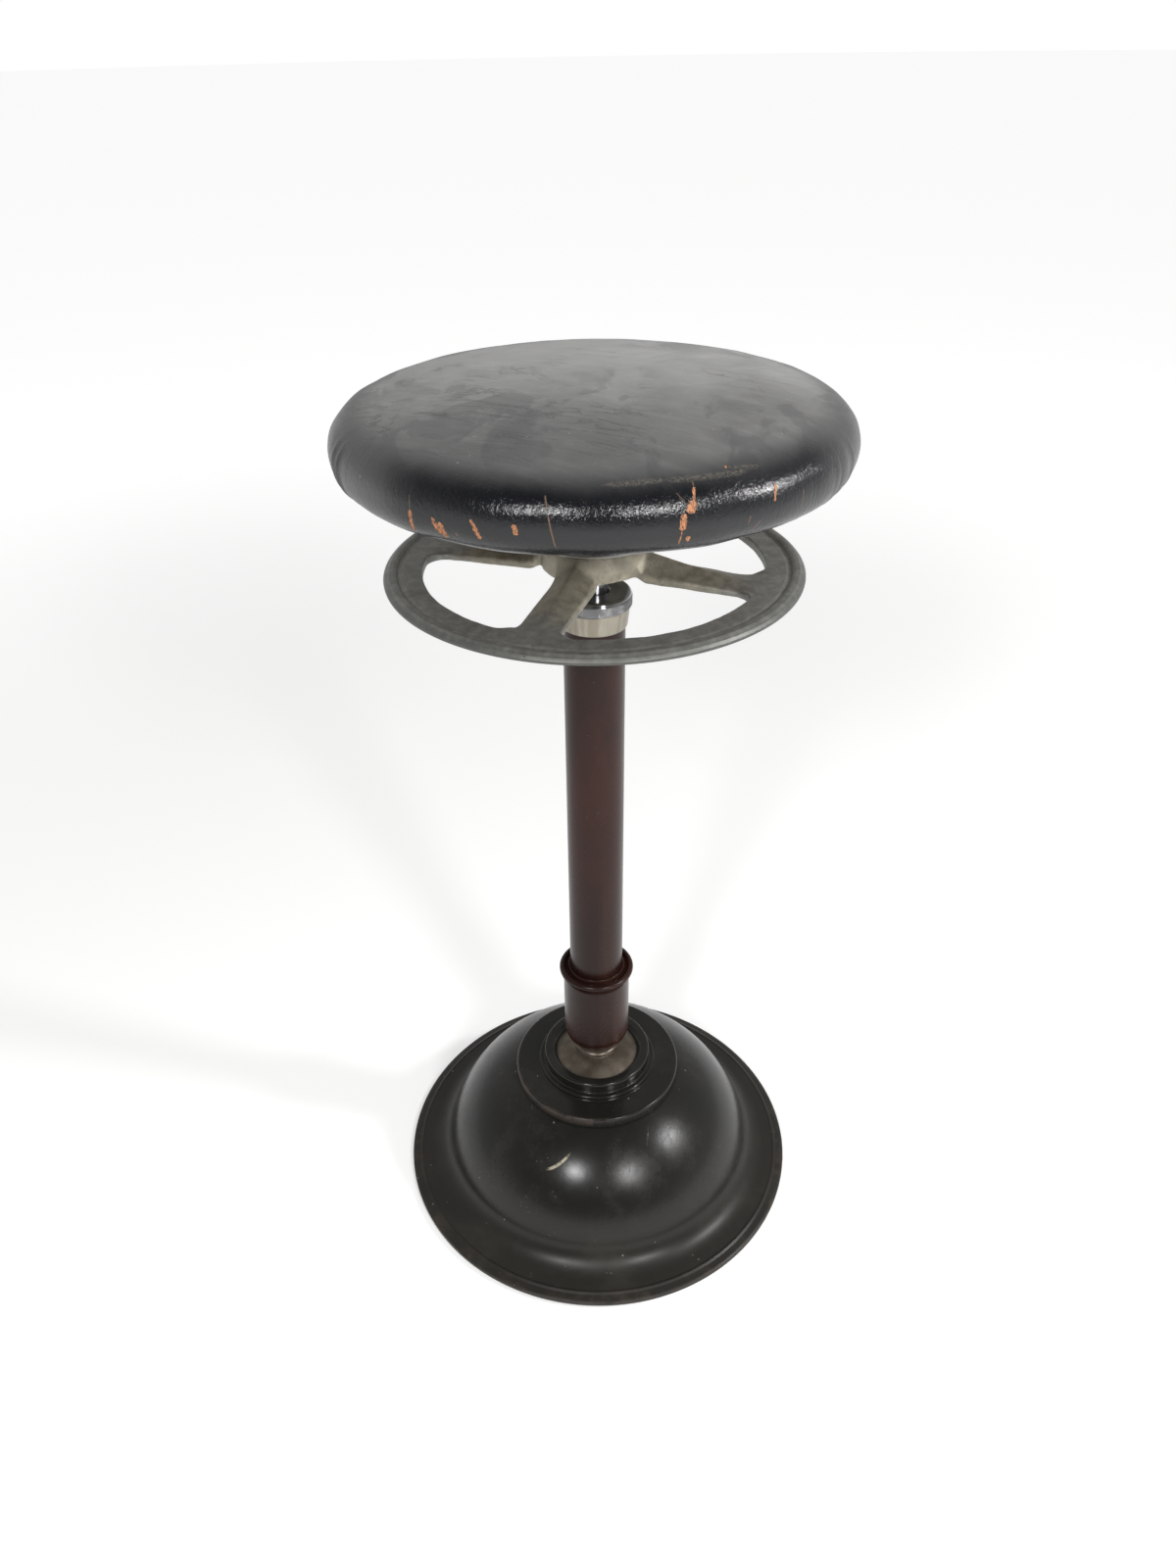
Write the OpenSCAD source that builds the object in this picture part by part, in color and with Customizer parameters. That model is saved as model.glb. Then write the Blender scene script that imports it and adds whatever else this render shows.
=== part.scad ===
// Dental stool: a round padded seat that turns freely on a hand-wheel screw, which runs in a tube
// column. The column's ball foot leans a little in a socket on a hollow iron bell, against a spring.
// Millimetres. The origin is the centre of the ring that the stool stands on, +Z is up, -Y is the front.

/* [Base] */
// Outside radius of the base rim
base_r = 177.6; // [170:0.1:190]
// Thickness of the rim at its edge
rim_t = 4.5; // [3.5:0.5:6]
// Width of the flat band under the rim
rim_band = 18; // [16:1:24]
// How far the floor ring stands below the iron
ring_proud = 2; // [1:0.5:4]
// Depth of the floor ring in its groove
ring_groove = 2; // [1:0.5:2.5]
// Radial width of the floor ring
ring_w = 12; // [8:1:13]
// Distance from the rim's edge to the bead round the skirt
bead_in = 9; // [7:0.5:12]
// Height of that bead
bead_h = 0.5; // [0.3:0.1:1]
// Rise of the skirt from its underside at the rim to the foot of the bell
skirt_rise = 7; // [6:0.5:13]
// Radius of the hollow sweep from the bell into the skirt
foot_fillet = 26; // [10:1:32]
// Radius of the bell at its widest
bell_r = 139.7; // [133:0.1:146]
// Height of the bell's widest circle
bell_foot = 10; // [6:1:14]
// Height of the bell's top face
bell_top = 102.4; // [98:0.1:110]
// Wall thickness of the bell
bell_wall = 9; // [7:0.5:10]
// Thickness of the lip round the hole in the bell's top
bell_lip_t = 8; // [6:0.5:10]

/* [Socket] */
// Width of the cap's flange outside the socket's opening
cap_edge = 12.6; // [11:0.1:19]
// Thickness of the cap's flange
cap_t = 10.5; // [9.5:0.5:12]
// Rounding of the flange's edge
cap_round = 2.5; // [1:0.5:3.5]
// Thinnest wall of the cap's low step round the socket
step_wall = 0.8; // [0.5:0.1:4]
// Height of the low step above the bell's top
step_rise = 14.9; // [14:0.1:17]
// Distance from the low step's edge to the high lip's edge
lip_in = 5; // [4:0.1:7]
// Height of the lip's crest above the bell's top
lip_rise = 25.5; // [24:0.1:27]
// Radius of the mouth that the ball shows through
mouth_r = 36.5; // [35:0.1:38]
// Radius of the cap bolts
bolt_r = 3; // [2.5:0.1:3.2]
// Distance from the cap's edge to the bolts' centres
bolt_edge = 4.5; // [4:0.1:5]
// Number of cap bolts
bolt_count = 4; // [3:1:8]
// Thickness of the spherical seat under the ball
socket_wall = 7; // [5:0.5:9]
// Thickness of the seat's flange
seat_flange_t = 5; // [4:0.5:6]
// Overlap of the cap over the seat's flange
seat_flange_lap = 3.2; // [2:0.1:3.6]
// Width of the ledge in the bell that carries the seat
seat_ledge = 12; // [10:0.5:13]

/* [Ball foot] */
// Radius of the ball's outer surface
dome_r = 75; // [72:0.5:78]
// Height of the ball's top above the bell's top
dome_rise = 30.6; // [29.6:0.1:31.4]
// Wall thickness of the ball
dome_wall = 6; // [4:0.5:8]
// Lean of the column each way about each axis, in degrees
tilt_max = 6; // [3:0.5:7]
// Gap between the ball and its socket
ball_gap = 0.3; // [0.2:0.05:0.5]
// Radius of the neck on the ball
neck_r = 17.8; // [15:0.1:19]
// Swell of the neck's bead
neck_bead = 2.3; // [1:0.1:3]
// Height of the neck above the ball's top
neck_h = 11; // [9:0.5:14]
// Radius of the draw stem
stem_r = 8; // [6:0.5:9]
// Radius of the centring spring's wire
wire_r = 3; // [2:0.25:3.5]
// Turns of the centring spring
spring_turns = 5.5; // [3.5:0.5:6]
// Radius of the ball washer under the spring
washer_ball_r = 20; // [18:0.5:24]

/* [Column] */
// Outside radius of the column tube
tube_r = 22.225; // [20:0.005:23]
// Wall thickness of the column tube
tube_wall = 3.2; // [2:0.1:4]
// Length of the column tube
tube_len = 398; // [360:1:440]
// Radius of the ferrule's body
ferrule_r = 28.2; // [26.5:0.1:30]
// Radius of the ferrule's top bead
ferrule_bead_r = 31.7; // [30.5:0.1:34]
// Length of the ferrule
ferrule_h = 86; // [70:1:110]
// Height of the solid bottom of the ferrule
ferrule_sole = 14; // [10:1:18]
// Length of the plug that holds the stem in the tube
plug_h = 40; // [34:1:60]

/* [Screw and collar] */
// Radius of the screw spindle
spindle_r = 10; // [9:0.25:11]
// Height of travel of the seat
travel = 200; // [120:5:220]
// Length of the bronze nut inside the tube
nut_h = 44; // [30:1:60]
// Thickness of the nut's flange on the tube's end
nut_flange = 5; // [3:0.5:7]
// Length of the guide bush at the spindle's lower end
guide_h = 22; // [14:1:30]
// Height of the nickel collar
collar_h = 15; // [13:0.5:20]
// Overlap of the collar down over the tube
collar_lap = 4; // [2:0.5:7]
// Wall thickness of the collar at its lower edge
collar_wall = 1.5; // [1:0.1:2.5]
// Flare of the collar towards its top
collar_flare = 1.6; // [0:0.1:2]
// Radius of the knurled ring
knurl_r = 26.9; // [26:0.1:29]
// Height of the knurled band
knurl_h = 7.1; // [5:0.1:10]
// Height of the polished crown above the knurl
crown_h = 3.3; // [2.5:0.1:5]
// Height of the collar's threaded neck
ring_neck_h = 6.7; // [4:0.1:6.9]

/* [Hand wheel] */
// Clear height between the knurled ring and the wheel's hub, seat lowest
wheel_gap = 18.8; // [12:0.1:30]
// Outside radius of the wheel
wheel_r = 143; // [135:0.5:155]
// Thickness of the wheel's plate at the rim side of its openings
plate_t = 6.5; // [4.5:0.1:7]
// Rise of the plate's upper face at the rim above the hub's underside
plate_rise = 1.2; // [0:0.1:3]
// Drop of the plate from the hub to the rim
plate_drop = 3.3; // [0:0.1:6]
// Radius of the openings' outer edge
open_r = 116.5; // [105:0.5:118]
// Half the width of a spoke's plate
spoke_half = 14.5; // [12:0.5:17]
// Corner radius of the openings at the rim
open_fillet = 12; // [8:1:20]
// Corner radius of the openings at the hub
hub_fillet = 6.5; // [4:0.5:9]
// Rounding of the wheel's outer bead
wheel_bead = 3.1; // [2.6:0.1:4]
// Rise of the bead above the plate
bead_rise = 1.7; // [0.5:0.1:3]
// Height of a rib's crest above the plate at the hub
rib_h = 9.8; // [5:0.1:12]
// Half the width of a rib at the hub
rib_half = 13.5; // [8:0.5:14]
// What half a rib's width loses towards the rim
rib_taper = 1.5; // [0:0.5:6]
// Roundness of a rib's crest, as a share of its width
rib_round = 0.11; // [0.05:0.01:0.3]
// Radius where the ribs run out
rib_end = 112; // [90:1:112]
// Direction of the first spoke, in degrees from the right-hand side
spoke_turn = -18.8; // [-45:0.2:45]
// Outside radius of the hub
hub_r = 35.5; // [34.5:0.1:38]
// Height of the hub
hub_h = 18.5; // [17:0.5:22]
// Wall of the bearing cup in the hub's top
cup_wall = 3.5; // [2:0.5:4.5]

/* [Seat bearing] */
// Radius of the bearing balls
ball_r = 4; // [3.5:0.25:4.5]
// Number of bearing balls
ball_count = 16; // [10:1:16]
// Thickness of each bearing race
race_t = 4; // [3.5:0.25:4.5]
// Inner radius of the races
race_in = 17.5; // [16:0.5:18]
// Depth of the races' grooves
groove_d = 1.1; // [0.6:0.1:1.5]
// Thickness of the dust washer
dust_t = 2; // [1:0.25:3]
// Radius of the dust washer
dust_r = 46.3; // [40:0.1:50]
// Radius of the journal that the seat turns on
journal_r = 8; // [7:0.25:8.5]

/* [Seat] */
// Radius of the bracket's foot
bracket_foot_r = 46.8; // [42:0.1:52]
// Height of the bracket
bracket_h = 47; // [42:0.5:60]
// Radius of the bracket's neck
bracket_neck_r = 27; // [24:0.5:32]
// Radius of the bracket's flange under the board
bracket_r = 92; // [80:1:110]
// Thickness of the bracket's flange
bracket_t = 6; // [4:0.5:8]
// Number of ribs and screws of the bracket
bracket_arms = 6; // [3:1:8]
// Distance from the cushion's widest circle in to the board's edge
board_in = 17.3; // [15:0.1:22]
// Thickness of the seat board
board_t = 18; // [14:1:20]
// Radius of the cushion at its widest
seat_r = 167.3; // [164:0.1:175]
// Height of the widest circle above the board's underside
seat_bulge_z = 18.3; // [16:0.1:22]
// Distance from the cushion's widest circle in to the crown's shoulder
shoulder_in = 22.3; // [19:0.1:30]
// Height of the shoulder above the board's underside
shoulder_z = 42; // [38:0.5:46]
// Rise of the crown from shoulder to centre
crown_rise = 10; // [5:0.5:18]
// Thickness of the leather cover
cover_t = 1.6; // [1:0.1:2.5]
// Width of the hem that the cover is turned in by, under the board
turn_in = 22; // [16:1:30]
// Number of cover tacks
tack_count = 32; // [16:2:48]

/* [Hidden] */
$fn = 96;

slip = 0.05;        // clearance of a fitted or running part on its seat, on the radius
face_gap = 0.3;     // clearance between faces that pass each other
pad_gap = 0.2;      // clearance between the layers of the seat
edge = 1;           // broken edges of turned pieces

rim_z = ring_proud;
skirt_z = rim_z + skirt_rise;
sweep_r = max(4, min(foot_fillet, base_r - bead_in - 3 - bell_r));
foot_relief = 2.5;   // depth of the hollow behind the rim's flat band
cap_z = bell_top + cap_t;
pivot_z = bell_top + dome_rise - dome_r;
socket_r = dome_r + ball_gap;
socket_open_r = sqrt(pow(socket_r, 2) - pow(bell_top - pivot_z, 2));
cap_r = socket_open_r + cap_edge;
step_r = sqrt(pow(socket_r, 2) - pow(cap_z - pivot_z, 2)) + step_wall;
lip_r = step_r - lip_in;
bell_b = (bell_top - bell_foot) / sqrt(1 - pow(cap_r / bell_r, 2));
seat_ball_r = dome_r - dome_wall - ball_gap;
seat_inner_r = seat_ball_r - socket_wall;
lean = acos(cos(tilt_max) * cos(tilt_max));
mouth_deg = asin(mouth_r / socket_r);
dome_deg = mouth_deg + lean + 2.5;
seat_flange_r = socket_open_r + seat_flange_lap;
bolt_circle = cap_r - bolt_edge;
bolt_up = cap_t - 3.5;
ceiling_z = bell_top - seat_flange_t - bell_lip_t;
stem_hole_r = (dome_r - dome_wall) * sin(lean) + stem_r + 1.8;
spring_r = stem_hole_r + wire_r - 1;
spring_boss_r = spring_r + wire_r + 3;
spring_top = pivot_z + sqrt(pow(seat_inner_r, 2) - pow(spring_boss_r, 2)) - 5;
spring_foot = pivot_z - 7;
washer_flange_t = 4;
washer_bore = stem_r + washer_ball_r * sin(tilt_max) + 1.2;
spring_steps = 12;
spring_low = spring_foot + wire_r + 0.1;
spring_high = spring_top - wire_r - 0.1;
cup_r = washer_ball_r + face_gap;
cup_out = stem_r + 6;
cup_z = pivot_z - washer_ball_r - 7;
stem_nut_t = 10;
stem_end = cup_z - stem_nut_t - 3;

ferrule_z = bell_top + dome_rise + neck_h;
tube_z = ferrule_z + ferrule_sole;
tube_top = tube_z + tube_len;
tube_in = tube_r - tube_wall;
rivet_z = tube_z + plug_h * 0.65;
rivet_r = 2.5;
plug_rim = 2;        // depth of the plug's material left inside the rivets

nut_z = tube_top - nut_h;
nut_top = tube_top + nut_flange;
collar_z = tube_top - collar_lap;
collar_top = collar_z + collar_h;
collar_r = tube_r + collar_wall;
set_screw_r = 1.5;
set_screw_turn = -41.4;
set_screw_up = 0.62;  // share of the collar's height
set_screw_len = collar_wall + collar_flare * set_screw_up - 0.5;
ring_bore = collar_r - 2.7;
collet_taper = 2.6;
ring_z = collar_top + face_gap;
ring_top = ring_z + knurl_h + crown_h;
collet_r = ring_bore - 4;
collet_z = nut_top + face_gap;
guide_top = nut_z - travel - 2;
guide_pin_r = spindle_r - 3;
guide_washer_t = 3;
guide_nut_t = 8;
spindle_end = guide_top - guide_h - guide_washer_t - guide_nut_t - 3;

hub_z = ring_top + wheel_gap;
plate_z = hub_z + plate_rise;
plate_low = plate_z - plate_t;
rim_r = open_r + 1.5;
bead_z = plate_z + bead_rise - wheel_bead;
cup_in = hub_r - cup_wall;
cup_floor = hub_z + 8.5;
hub_top = hub_z + hub_h;
hub_seat_r = spindle_r - 1;
hub_nut_t = 5;
race_out = cup_in - 0.5;
pitch_r = (race_in + race_out) / 2;
ball_z = cup_floor + race_t - groove_d + ball_r + slip;
upper_race_z = ball_z + ball_r + slip - groove_d;
dust_z = upper_race_z + race_t;
key_w = 4;

bracket_z = dust_z + dust_t;
board_z = bracket_z + bracket_h;
board_r = seat_r - board_in;
shoulder_r = seat_r - shoulder_in;
turn_in_r = board_r - turn_in;
bush_wall = 3;
bush_top = board_z - 22;
swivel_washer_t = 2;
swivel_nut_t = 9;
spindle_top = bush_top + face_gap + swivel_washer_t + swivel_nut_t + 3;
screw_circle = bracket_r - 11;
seat_screw_r = 2.5;
bracket_neck_fillet = 9;
arm_t = 6;
bracket_taper = 1.6;
tack_circle = (turn_in_r + board_r) / 2 + 1;
tack_shank_r = 0.9;
tack_len = 10;
hem_drop = 0.2;      // sag of the cover's hem below the board

// Points along an arc about (x, z), from angle a to angle b
function arc(x, z, r, a, b, n = 8) =
    [for (i = [0:n]) [x + r * cos(a + (b - a) * i / n), z + r * sin(a + (b - a) * i / n)]];
// Points along a quarter or other part of an ellipse
function oval(x, z, rx, rz, a, b, n = 8) =
    [for (i = [0:n]) [x + rx * cos(a + (b - a) * i / n), z + rz * sin(a + (b - a) * i / n)]];
// Points along a curve between p and s, pulled towards q and r
function curve(p, q, r, s, n = 10) = [for (i = [0:n]) let (t = i / n, u = 1 - t)
    u * u * u * p + 3 * u * u * t * q + 3 * u * t * t * r + t * t * t * s];
// Angle above the horizontal at which a circle of radius r about the pivot has the radius x
function lift(r, x) = acos(x / r);
// Height at which a circle of radius r about the pivot has the radius x
function over(r, x) = pivot_z + sqrt(r * r - x * x);
// Radius of the bell's outside at a height
function bell_at(z) = bell_r * sqrt(1 - pow((z - bell_foot) / bell_b, 2));

// Centre line of the spring: a helix of wire between the ball washer and the socket seat
function spring_at(i) = let (n = spring_turns * spring_steps, t = i / spring_steps)
    [spring_r * cos(360 * t), spring_r * sin(360 * t), spring_low + (spring_high - spring_low) * i / n];
spring_gap = min([for (i = [0:spring_steps * (spring_turns - 1)])
    norm(spring_at(i + spring_steps) - spring_at(i))]) - 2 * wire_r;
echo(spring_least_gap = spring_gap);

module turned(points) rotate_extrude() polygon(points);

module washer(r_out, r_in, z, t) translate([0, 0, z]) difference() {
    cylinder(r = r_out, h = t);
    translate([0, 0, -1]) cylinder(r = r_in, h = t + 2);
}

module hex_nut(flats, r_in, z, t) translate([0, 0, z]) difference() {
    cylinder(r = flats / sqrt(3), h = t, $fn = 6);
    translate([0, 0, -1]) cylinder(r = r_in, h = t + 2);
}

module around(count, r, turn = 0)
    for (i = [0:count - 1]) rotate([0, 0, turn + i * 360 / count]) translate([r, 0, 0]) children();

module bell_base() color([0.06, 0.06, 0.06]) {
    fillet_z = skirt_z + sweep_r;
    fillet_x = bell_at(fillet_z) + sweep_r;
    under_r = sweep_r + bell_wall;
    bead_r = base_r - bead_in;
    bead_z = rim_z + rim_t + (skirt_z - rim_z - rim_t) * bead_in / (base_r - fillet_x);
    inner_r = bell_r - bell_wall;
    inner_b = bell_b - bell_wall;
    foot_in = base_r - rim_band;
    ring_out = foot_in + (rim_band + ring_w) / 2;
    difference() {
        turned(concat(
            [[base_r - edge, rim_z], [base_r, rim_z + edge], [base_r, rim_z + rim_t - edge],
             [base_r - edge, rim_z + rim_t], [bead_r + 1, bead_z],
             [bead_r + 0.5, bead_z + bead_h], [bead_r - 0.5, bead_z + bead_h], [bead_r - 1, bead_z + 0.1]],
            arc(fillet_x, fillet_z, sweep_r, 270, 180, 14),
            oval(0, bell_foot, bell_r, bell_b, asin((fillet_z - bell_foot) / bell_b) + 0.5,
                acos(cap_r / bell_r), 30),
            [[seat_flange_r + slip, bell_top], [seat_flange_r + slip, bell_top - seat_flange_t],
             [seat_flange_r - seat_ledge, bell_top - seat_flange_t],
             [seat_flange_r - seat_ledge, ceiling_z]],
            oval(0, bell_foot, inner_r, inner_b, asin((ceiling_z - bell_foot) / inner_b),
                asin((fillet_z - bell_foot) / inner_b), 18),
            arc(fillet_x, fillet_z, under_r, 188,
                180 + asin((fillet_z - rim_z - foot_relief) / under_r), 8),
            [[foot_in - 4, rim_z + foot_relief], [foot_in, rim_z]]));
        washer(ring_out + slip, ring_out - ring_w - slip, 0, rim_z + ring_groove);
        around(bolt_count, bolt_circle) translate([0, 0, ceiling_z - 1])
            cylinder(r = bolt_r + slip, h = bell_top);
    }
}

module floor_ring() color([0.1, 0.1, 0.1]) {
    ring_out = base_r - rim_band / 2 + ring_w / 2;
    washer(ring_out, ring_out - ring_w, 0, rim_z + ring_groove);
}

module socket_cap() color([0.08, 0.08, 0.08]) {
    lip_top = bell_top + lip_rise;
    step_top = bell_top + step_rise;
    difference() {
        turned(concat(
            [[cap_r - edge, bell_top], [cap_r, bell_top + edge]],
            arc(cap_r - cap_round, cap_z - cap_round, cap_round, 0, 90),
            arc(step_r + 1.2, cap_z + 1.2, 1.2, 270, 180, 4),
            arc(step_r - 2, step_top - 2, 2, 0, 90),
            arc(lip_r + 1.5, step_top + 1.3, 1.5, 270, 180, 4),
            arc(lip_r - 2.5, lip_top - 2.5, 2.5, 0, 90),
            [[mouth_r + 2, lip_top - 1.7]],
            arc(mouth_r + 1.3, lip_top - 3.2, 1.3, 90, 180, 4),
            [for (a = [lift(socket_r, mouth_r):-2:lift(socket_r, socket_open_r)])
                [socket_r * cos(a), pivot_z + socket_r * sin(a)]],
            [[socket_open_r, bell_top]]));
        around(bolt_count, bolt_circle) translate([0, 0, bell_top - 1])
            cylinder(r = bolt_r + slip, h = bolt_up + 1 + face_gap);
    }
}

module cap_bolts() color([0.3, 0.3, 0.3]) around(bolt_count, bolt_circle) {
    translate([0, 0, ceiling_z]) cylinder(r = bolt_r, h = bell_top + bolt_up - ceiling_z);
    translate([0, 0, ceiling_z - bolt_r * 1.35]) cylinder(r = bolt_r * 1.9, h = bolt_r * 1.35, $fn = 6);
}

module socket_seat() color([0.35, 0.33, 0.3]) {
    floor_r = sqrt(pow(seat_ball_r, 2) - pow(bell_top - pivot_z, 2));
    under_z = bell_top - seat_flange_t;
    under_r = sqrt(pow(seat_inner_r, 2) - pow(under_z - pivot_z, 2));
    turned(concat(
        [[stem_hole_r, spring_top], [spring_boss_r, spring_top]],
        arc(0, pivot_z, seat_inner_r, lift(seat_inner_r, spring_boss_r), lift(seat_inner_r, under_r), 12),
        [[seat_flange_r, under_z], [seat_flange_r, bell_top]],
        arc(0, pivot_z, seat_ball_r, lift(seat_ball_r, floor_r), lift(seat_ball_r, stem_hole_r), 14)));
}

module centring_spring() color([0.45, 0.45, 0.47]) {
    sides = 6;
    rings = spring_turns * spring_steps;
    points = [for (i = [0:rings]) let (c = spring_at(i), a = 360 * i / spring_steps)
        for (k = [0:sides - 1]) let (b = 360 * k / sides)
            c + wire_r * [cos(b) * cos(a), cos(b) * sin(a), sin(b)]];
    faces = concat(
        [[for (k = [0:sides - 1]) k]],
        [for (i = [0:rings - 1], k = [0:sides - 1]) let (j = (k + 1) % sides)
            each [[i * sides + k, (i + 1) * sides + k, (i + 1) * sides + j],
                  [i * sides + k, (i + 1) * sides + j, i * sides + j]]],
        [[for (k = [sides - 1:-1:0]) rings * sides + k]]);
    polyhedron(points, faces, convexity = 10);
}

module ball_washer() color([0.5, 0.48, 0.45]) {
    under_z = spring_foot - washer_flange_t;
    flange_r = spring_r + wire_r + 1.5;
    turn_r = sqrt(pow(washer_ball_r, 2) - pow(pivot_z - under_z, 2));
    turned(concat(
        arc(0, pivot_z, washer_ball_r, -lift(washer_ball_r, washer_bore), -lift(washer_ball_r, turn_r), 8),
        [[flange_r, under_z], [flange_r, spring_foot], [washer_bore, spring_foot]]));
}

module cup_washer() color([0.5, 0.48, 0.45]) turned(concat(
    [[stem_r + slip, cup_z], [cup_out, cup_z]],
    arc(0, pivot_z, cup_r, -lift(cup_r, cup_out), -lift(cup_r, stem_r + slip), 8)));

module stem_nuts() color([0.4, 0.4, 0.42]) {
    hex_nut(stem_r * 3, stem_r + slip, cup_z - stem_nut_t, stem_nut_t);
    hex_nut(stem_r * 3, stem_r + slip, tube_z + plug_h, stem_nut_t);
}

module draw_stem() color([0.4, 0.4, 0.42]) turned([[0, stem_end], [stem_r - edge, stem_end],
    [stem_r, stem_end + edge], [stem_r, tube_z + plug_h + stem_nut_t + 2],
    [stem_r - edge, tube_z + plug_h + stem_nut_t + 3], [0, tube_z + plug_h + stem_nut_t + 3]]);

module ball_foot() color([0.32, 0.27, 0.22]) {
    dome_in = dome_r - dome_wall;
    neck_foot_z = over(dome_r, neck_r);
    turned(concat(
        arc(0, pivot_z, dome_in, lift(dome_in, stem_r + slip), 90 - dome_deg, 16),
        arc(0, pivot_z, dome_r, 90 - dome_deg, lift(dome_r, neck_r + 0.4), 16),
        [for (i = [0:10]) [neck_r + neck_bead * sin(18 * i),
            neck_foot_z + (ferrule_z - 0.8 - neck_foot_z) * i / 10]],
        [[neck_r, ferrule_z], [stem_r + slip, ferrule_z]]));
}

module ferrule() color([0.27, 0.1, 0.07]) {
    top = ferrule_z + ferrule_h;
    bead_z = top - 4.2;
    turned(concat(
        [[stem_r + slip, ferrule_z], [neck_r + 1, ferrule_z]],
        oval(neck_r + 2, ferrule_z + ferrule_sole, ferrule_r - neck_r - 2, ferrule_sole, 270, 360, 12),
        curve([ferrule_r, bead_z - 8], [ferrule_r, bead_z - 3.5], [ferrule_bead_r - 1, bead_z - 4],
            [ferrule_bead_r - 0.6, bead_z - 1.6], 6),
        arc(ferrule_bead_r - 3, bead_z, 3, 0, 100, 8),
        curve([ferrule_bead_r - 5, bead_z + 1.2], [ferrule_bead_r - 6.5, bead_z - 0.6],
            [tube_r + 2.6, bead_z - 0.4], [tube_r + 2.2, bead_z + 2.6], 6),
        [[tube_r + 1.4, top], [tube_r + slip, top], [tube_r + slip, tube_z], [stem_r + slip, tube_z]]));
}

module rivet_holes() for (a = [0, 180]) rotate([0, 0, a]) translate([stem_r + plug_rim, 0, rivet_z])
    rotate([0, 90, 0]) cylinder(r = rivet_r + slip, h = tube_r);

module plug_rivets() color([0.5, 0.48, 0.45]) for (a = [0, 180]) rotate([0, 0, a])
    translate([stem_r + plug_rim, 0, rivet_z]) rotate([0, 90, 0])
        cylinder(r = rivet_r, h = tube_r - stem_r - plug_rim - 0.5);

module column_plug() color([0.35, 0.35, 0.35]) difference() {
    washer(tube_in - slip, stem_r + slip, tube_z, plug_h);
    rivet_holes();
}

module column_tube() color([0.25, 0.11, 0.08]) difference() {
    washer(tube_r, tube_in, tube_z, tube_len);
    rivet_holes();
}

module screw_nut() color([0.62, 0.47, 0.25]) difference() {
    union() {
        translate([0, 0, nut_z]) cylinder(r = tube_in - slip, h = nut_h);
        translate([0, 0, tube_top]) cylinder(r = tube_r, h = nut_flange);
    }
    translate([0, 0, nut_z - 1]) cylinder(r = spindle_r + slip, h = nut_h + nut_flange + 2);
}

module set_screw_place() rotate([0, 0, set_screw_turn])
    translate([tube_r + slip + 0.1, 0, collar_z + collar_h * set_screw_up]) rotate([0, 90, 0]) children();

module top_collar() color([0.75, 0.73, 0.7]) difference() {
    turned([[tube_r + slip, collar_z], [collar_r - 0.4, collar_z], [collar_r, collar_z + 0.5],
        [collar_r + collar_flare, collar_top - 0.5], [collar_r + collar_flare - 0.5, collar_top],
        [ring_bore - slip, collar_top], [ring_bore - slip, collar_top + ring_neck_h],
        [collet_r - collet_taper, collar_top + ring_neck_h], [collet_r + slip, collar_top],
        [collet_r + slip, nut_top], [tube_r + slip, nut_top]]);
    set_screw_place() cylinder(r = set_screw_r + slip, h = collar_wall + collar_flare + 2);
}

module collar_screw() color([0.2, 0.2, 0.2]) set_screw_place() difference() {
    cylinder(r = set_screw_r, h = set_screw_len);
    translate([-2, -0.25, set_screw_len - 0.6]) cube([4, 0.5, 2]);
}

module clamp_collet() color([0.62, 0.47, 0.25]) difference() {
    turned([[spindle_r + slip, collet_z], [collet_r - slip, collet_z], [collet_r - slip, collar_top - 0.5],
        [collet_r - collet_taper - slip - 0.1, collar_top + ring_neck_h - 0.3],
        [spindle_r + slip, collar_top + ring_neck_h - 0.3]]);
    around(3, spindle_r, 20) translate([-2, -0.6, collet_z + 3]) cube([collet_r, 1.2, collar_h + knurl_h]);
}

module knurled_ring() color([0.55, 0.55, 0.55]) {
    band_top = ring_z + knurl_h;
    plate = collar_top + ring_neck_h + face_gap;
    turned(concat(
        [[ring_bore + slip, ring_z], [knurl_r - 0.5, ring_z], [knurl_r, ring_z + 0.5],
         [knurl_r, band_top - 0.3], [knurl_r - 0.5, band_top]],
        oval(knurl_r - 3.3, band_top, 2.8, crown_h, 10, 90, 8),
        [[spindle_r + 0.5 + edge, ring_top], [spindle_r + 0.5, ring_top - edge], [spindle_r + 0.5, plate],
         [ring_bore + slip, plate]]));
}

module guide_bush() color([0.62, 0.47, 0.25])
    washer(tube_in - slip, guide_pin_r + slip, guide_top - guide_h, guide_h - slip);

module guide_washer() color([0.5, 0.5, 0.5])
    washer(tube_in - 4, guide_pin_r + slip, guide_top - guide_h - guide_washer_t - slip, guide_washer_t);

module guide_nut() color([0.4, 0.4, 0.42])
    hex_nut(guide_pin_r * 3, guide_pin_r + slip,
        guide_top - guide_h - guide_washer_t - guide_nut_t - slip, guide_nut_t);

module screw_spindle() color([0.6, 0.6, 0.62]) difference() {
    turned([[0, spindle_end], [guide_pin_r - edge, spindle_end], [guide_pin_r, spindle_end + edge],
        [guide_pin_r, guide_top], [spindle_r, guide_top], [spindle_r, hub_z], [hub_seat_r, hub_z],
        [hub_seat_r, cup_floor + hub_nut_t + 0.5], [journal_r, cup_floor + hub_nut_t + 0.5],
        [journal_r, spindle_top - edge], [journal_r - edge, spindle_top], [0, spindle_top]]);
    translate([hub_seat_r - key_w / 2 - slip, -key_w / 2 - slip, hub_z])
        cube([key_w, key_w + 2 * slip, cup_floor - hub_z]);
}

module hub_key() color([0.4, 0.4, 0.42])
    translate([hub_seat_r - key_w / 2, -key_w / 2, hub_z + slip])
        cube([key_w, key_w, cup_floor - hub_z - 2 * slip]);

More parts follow.
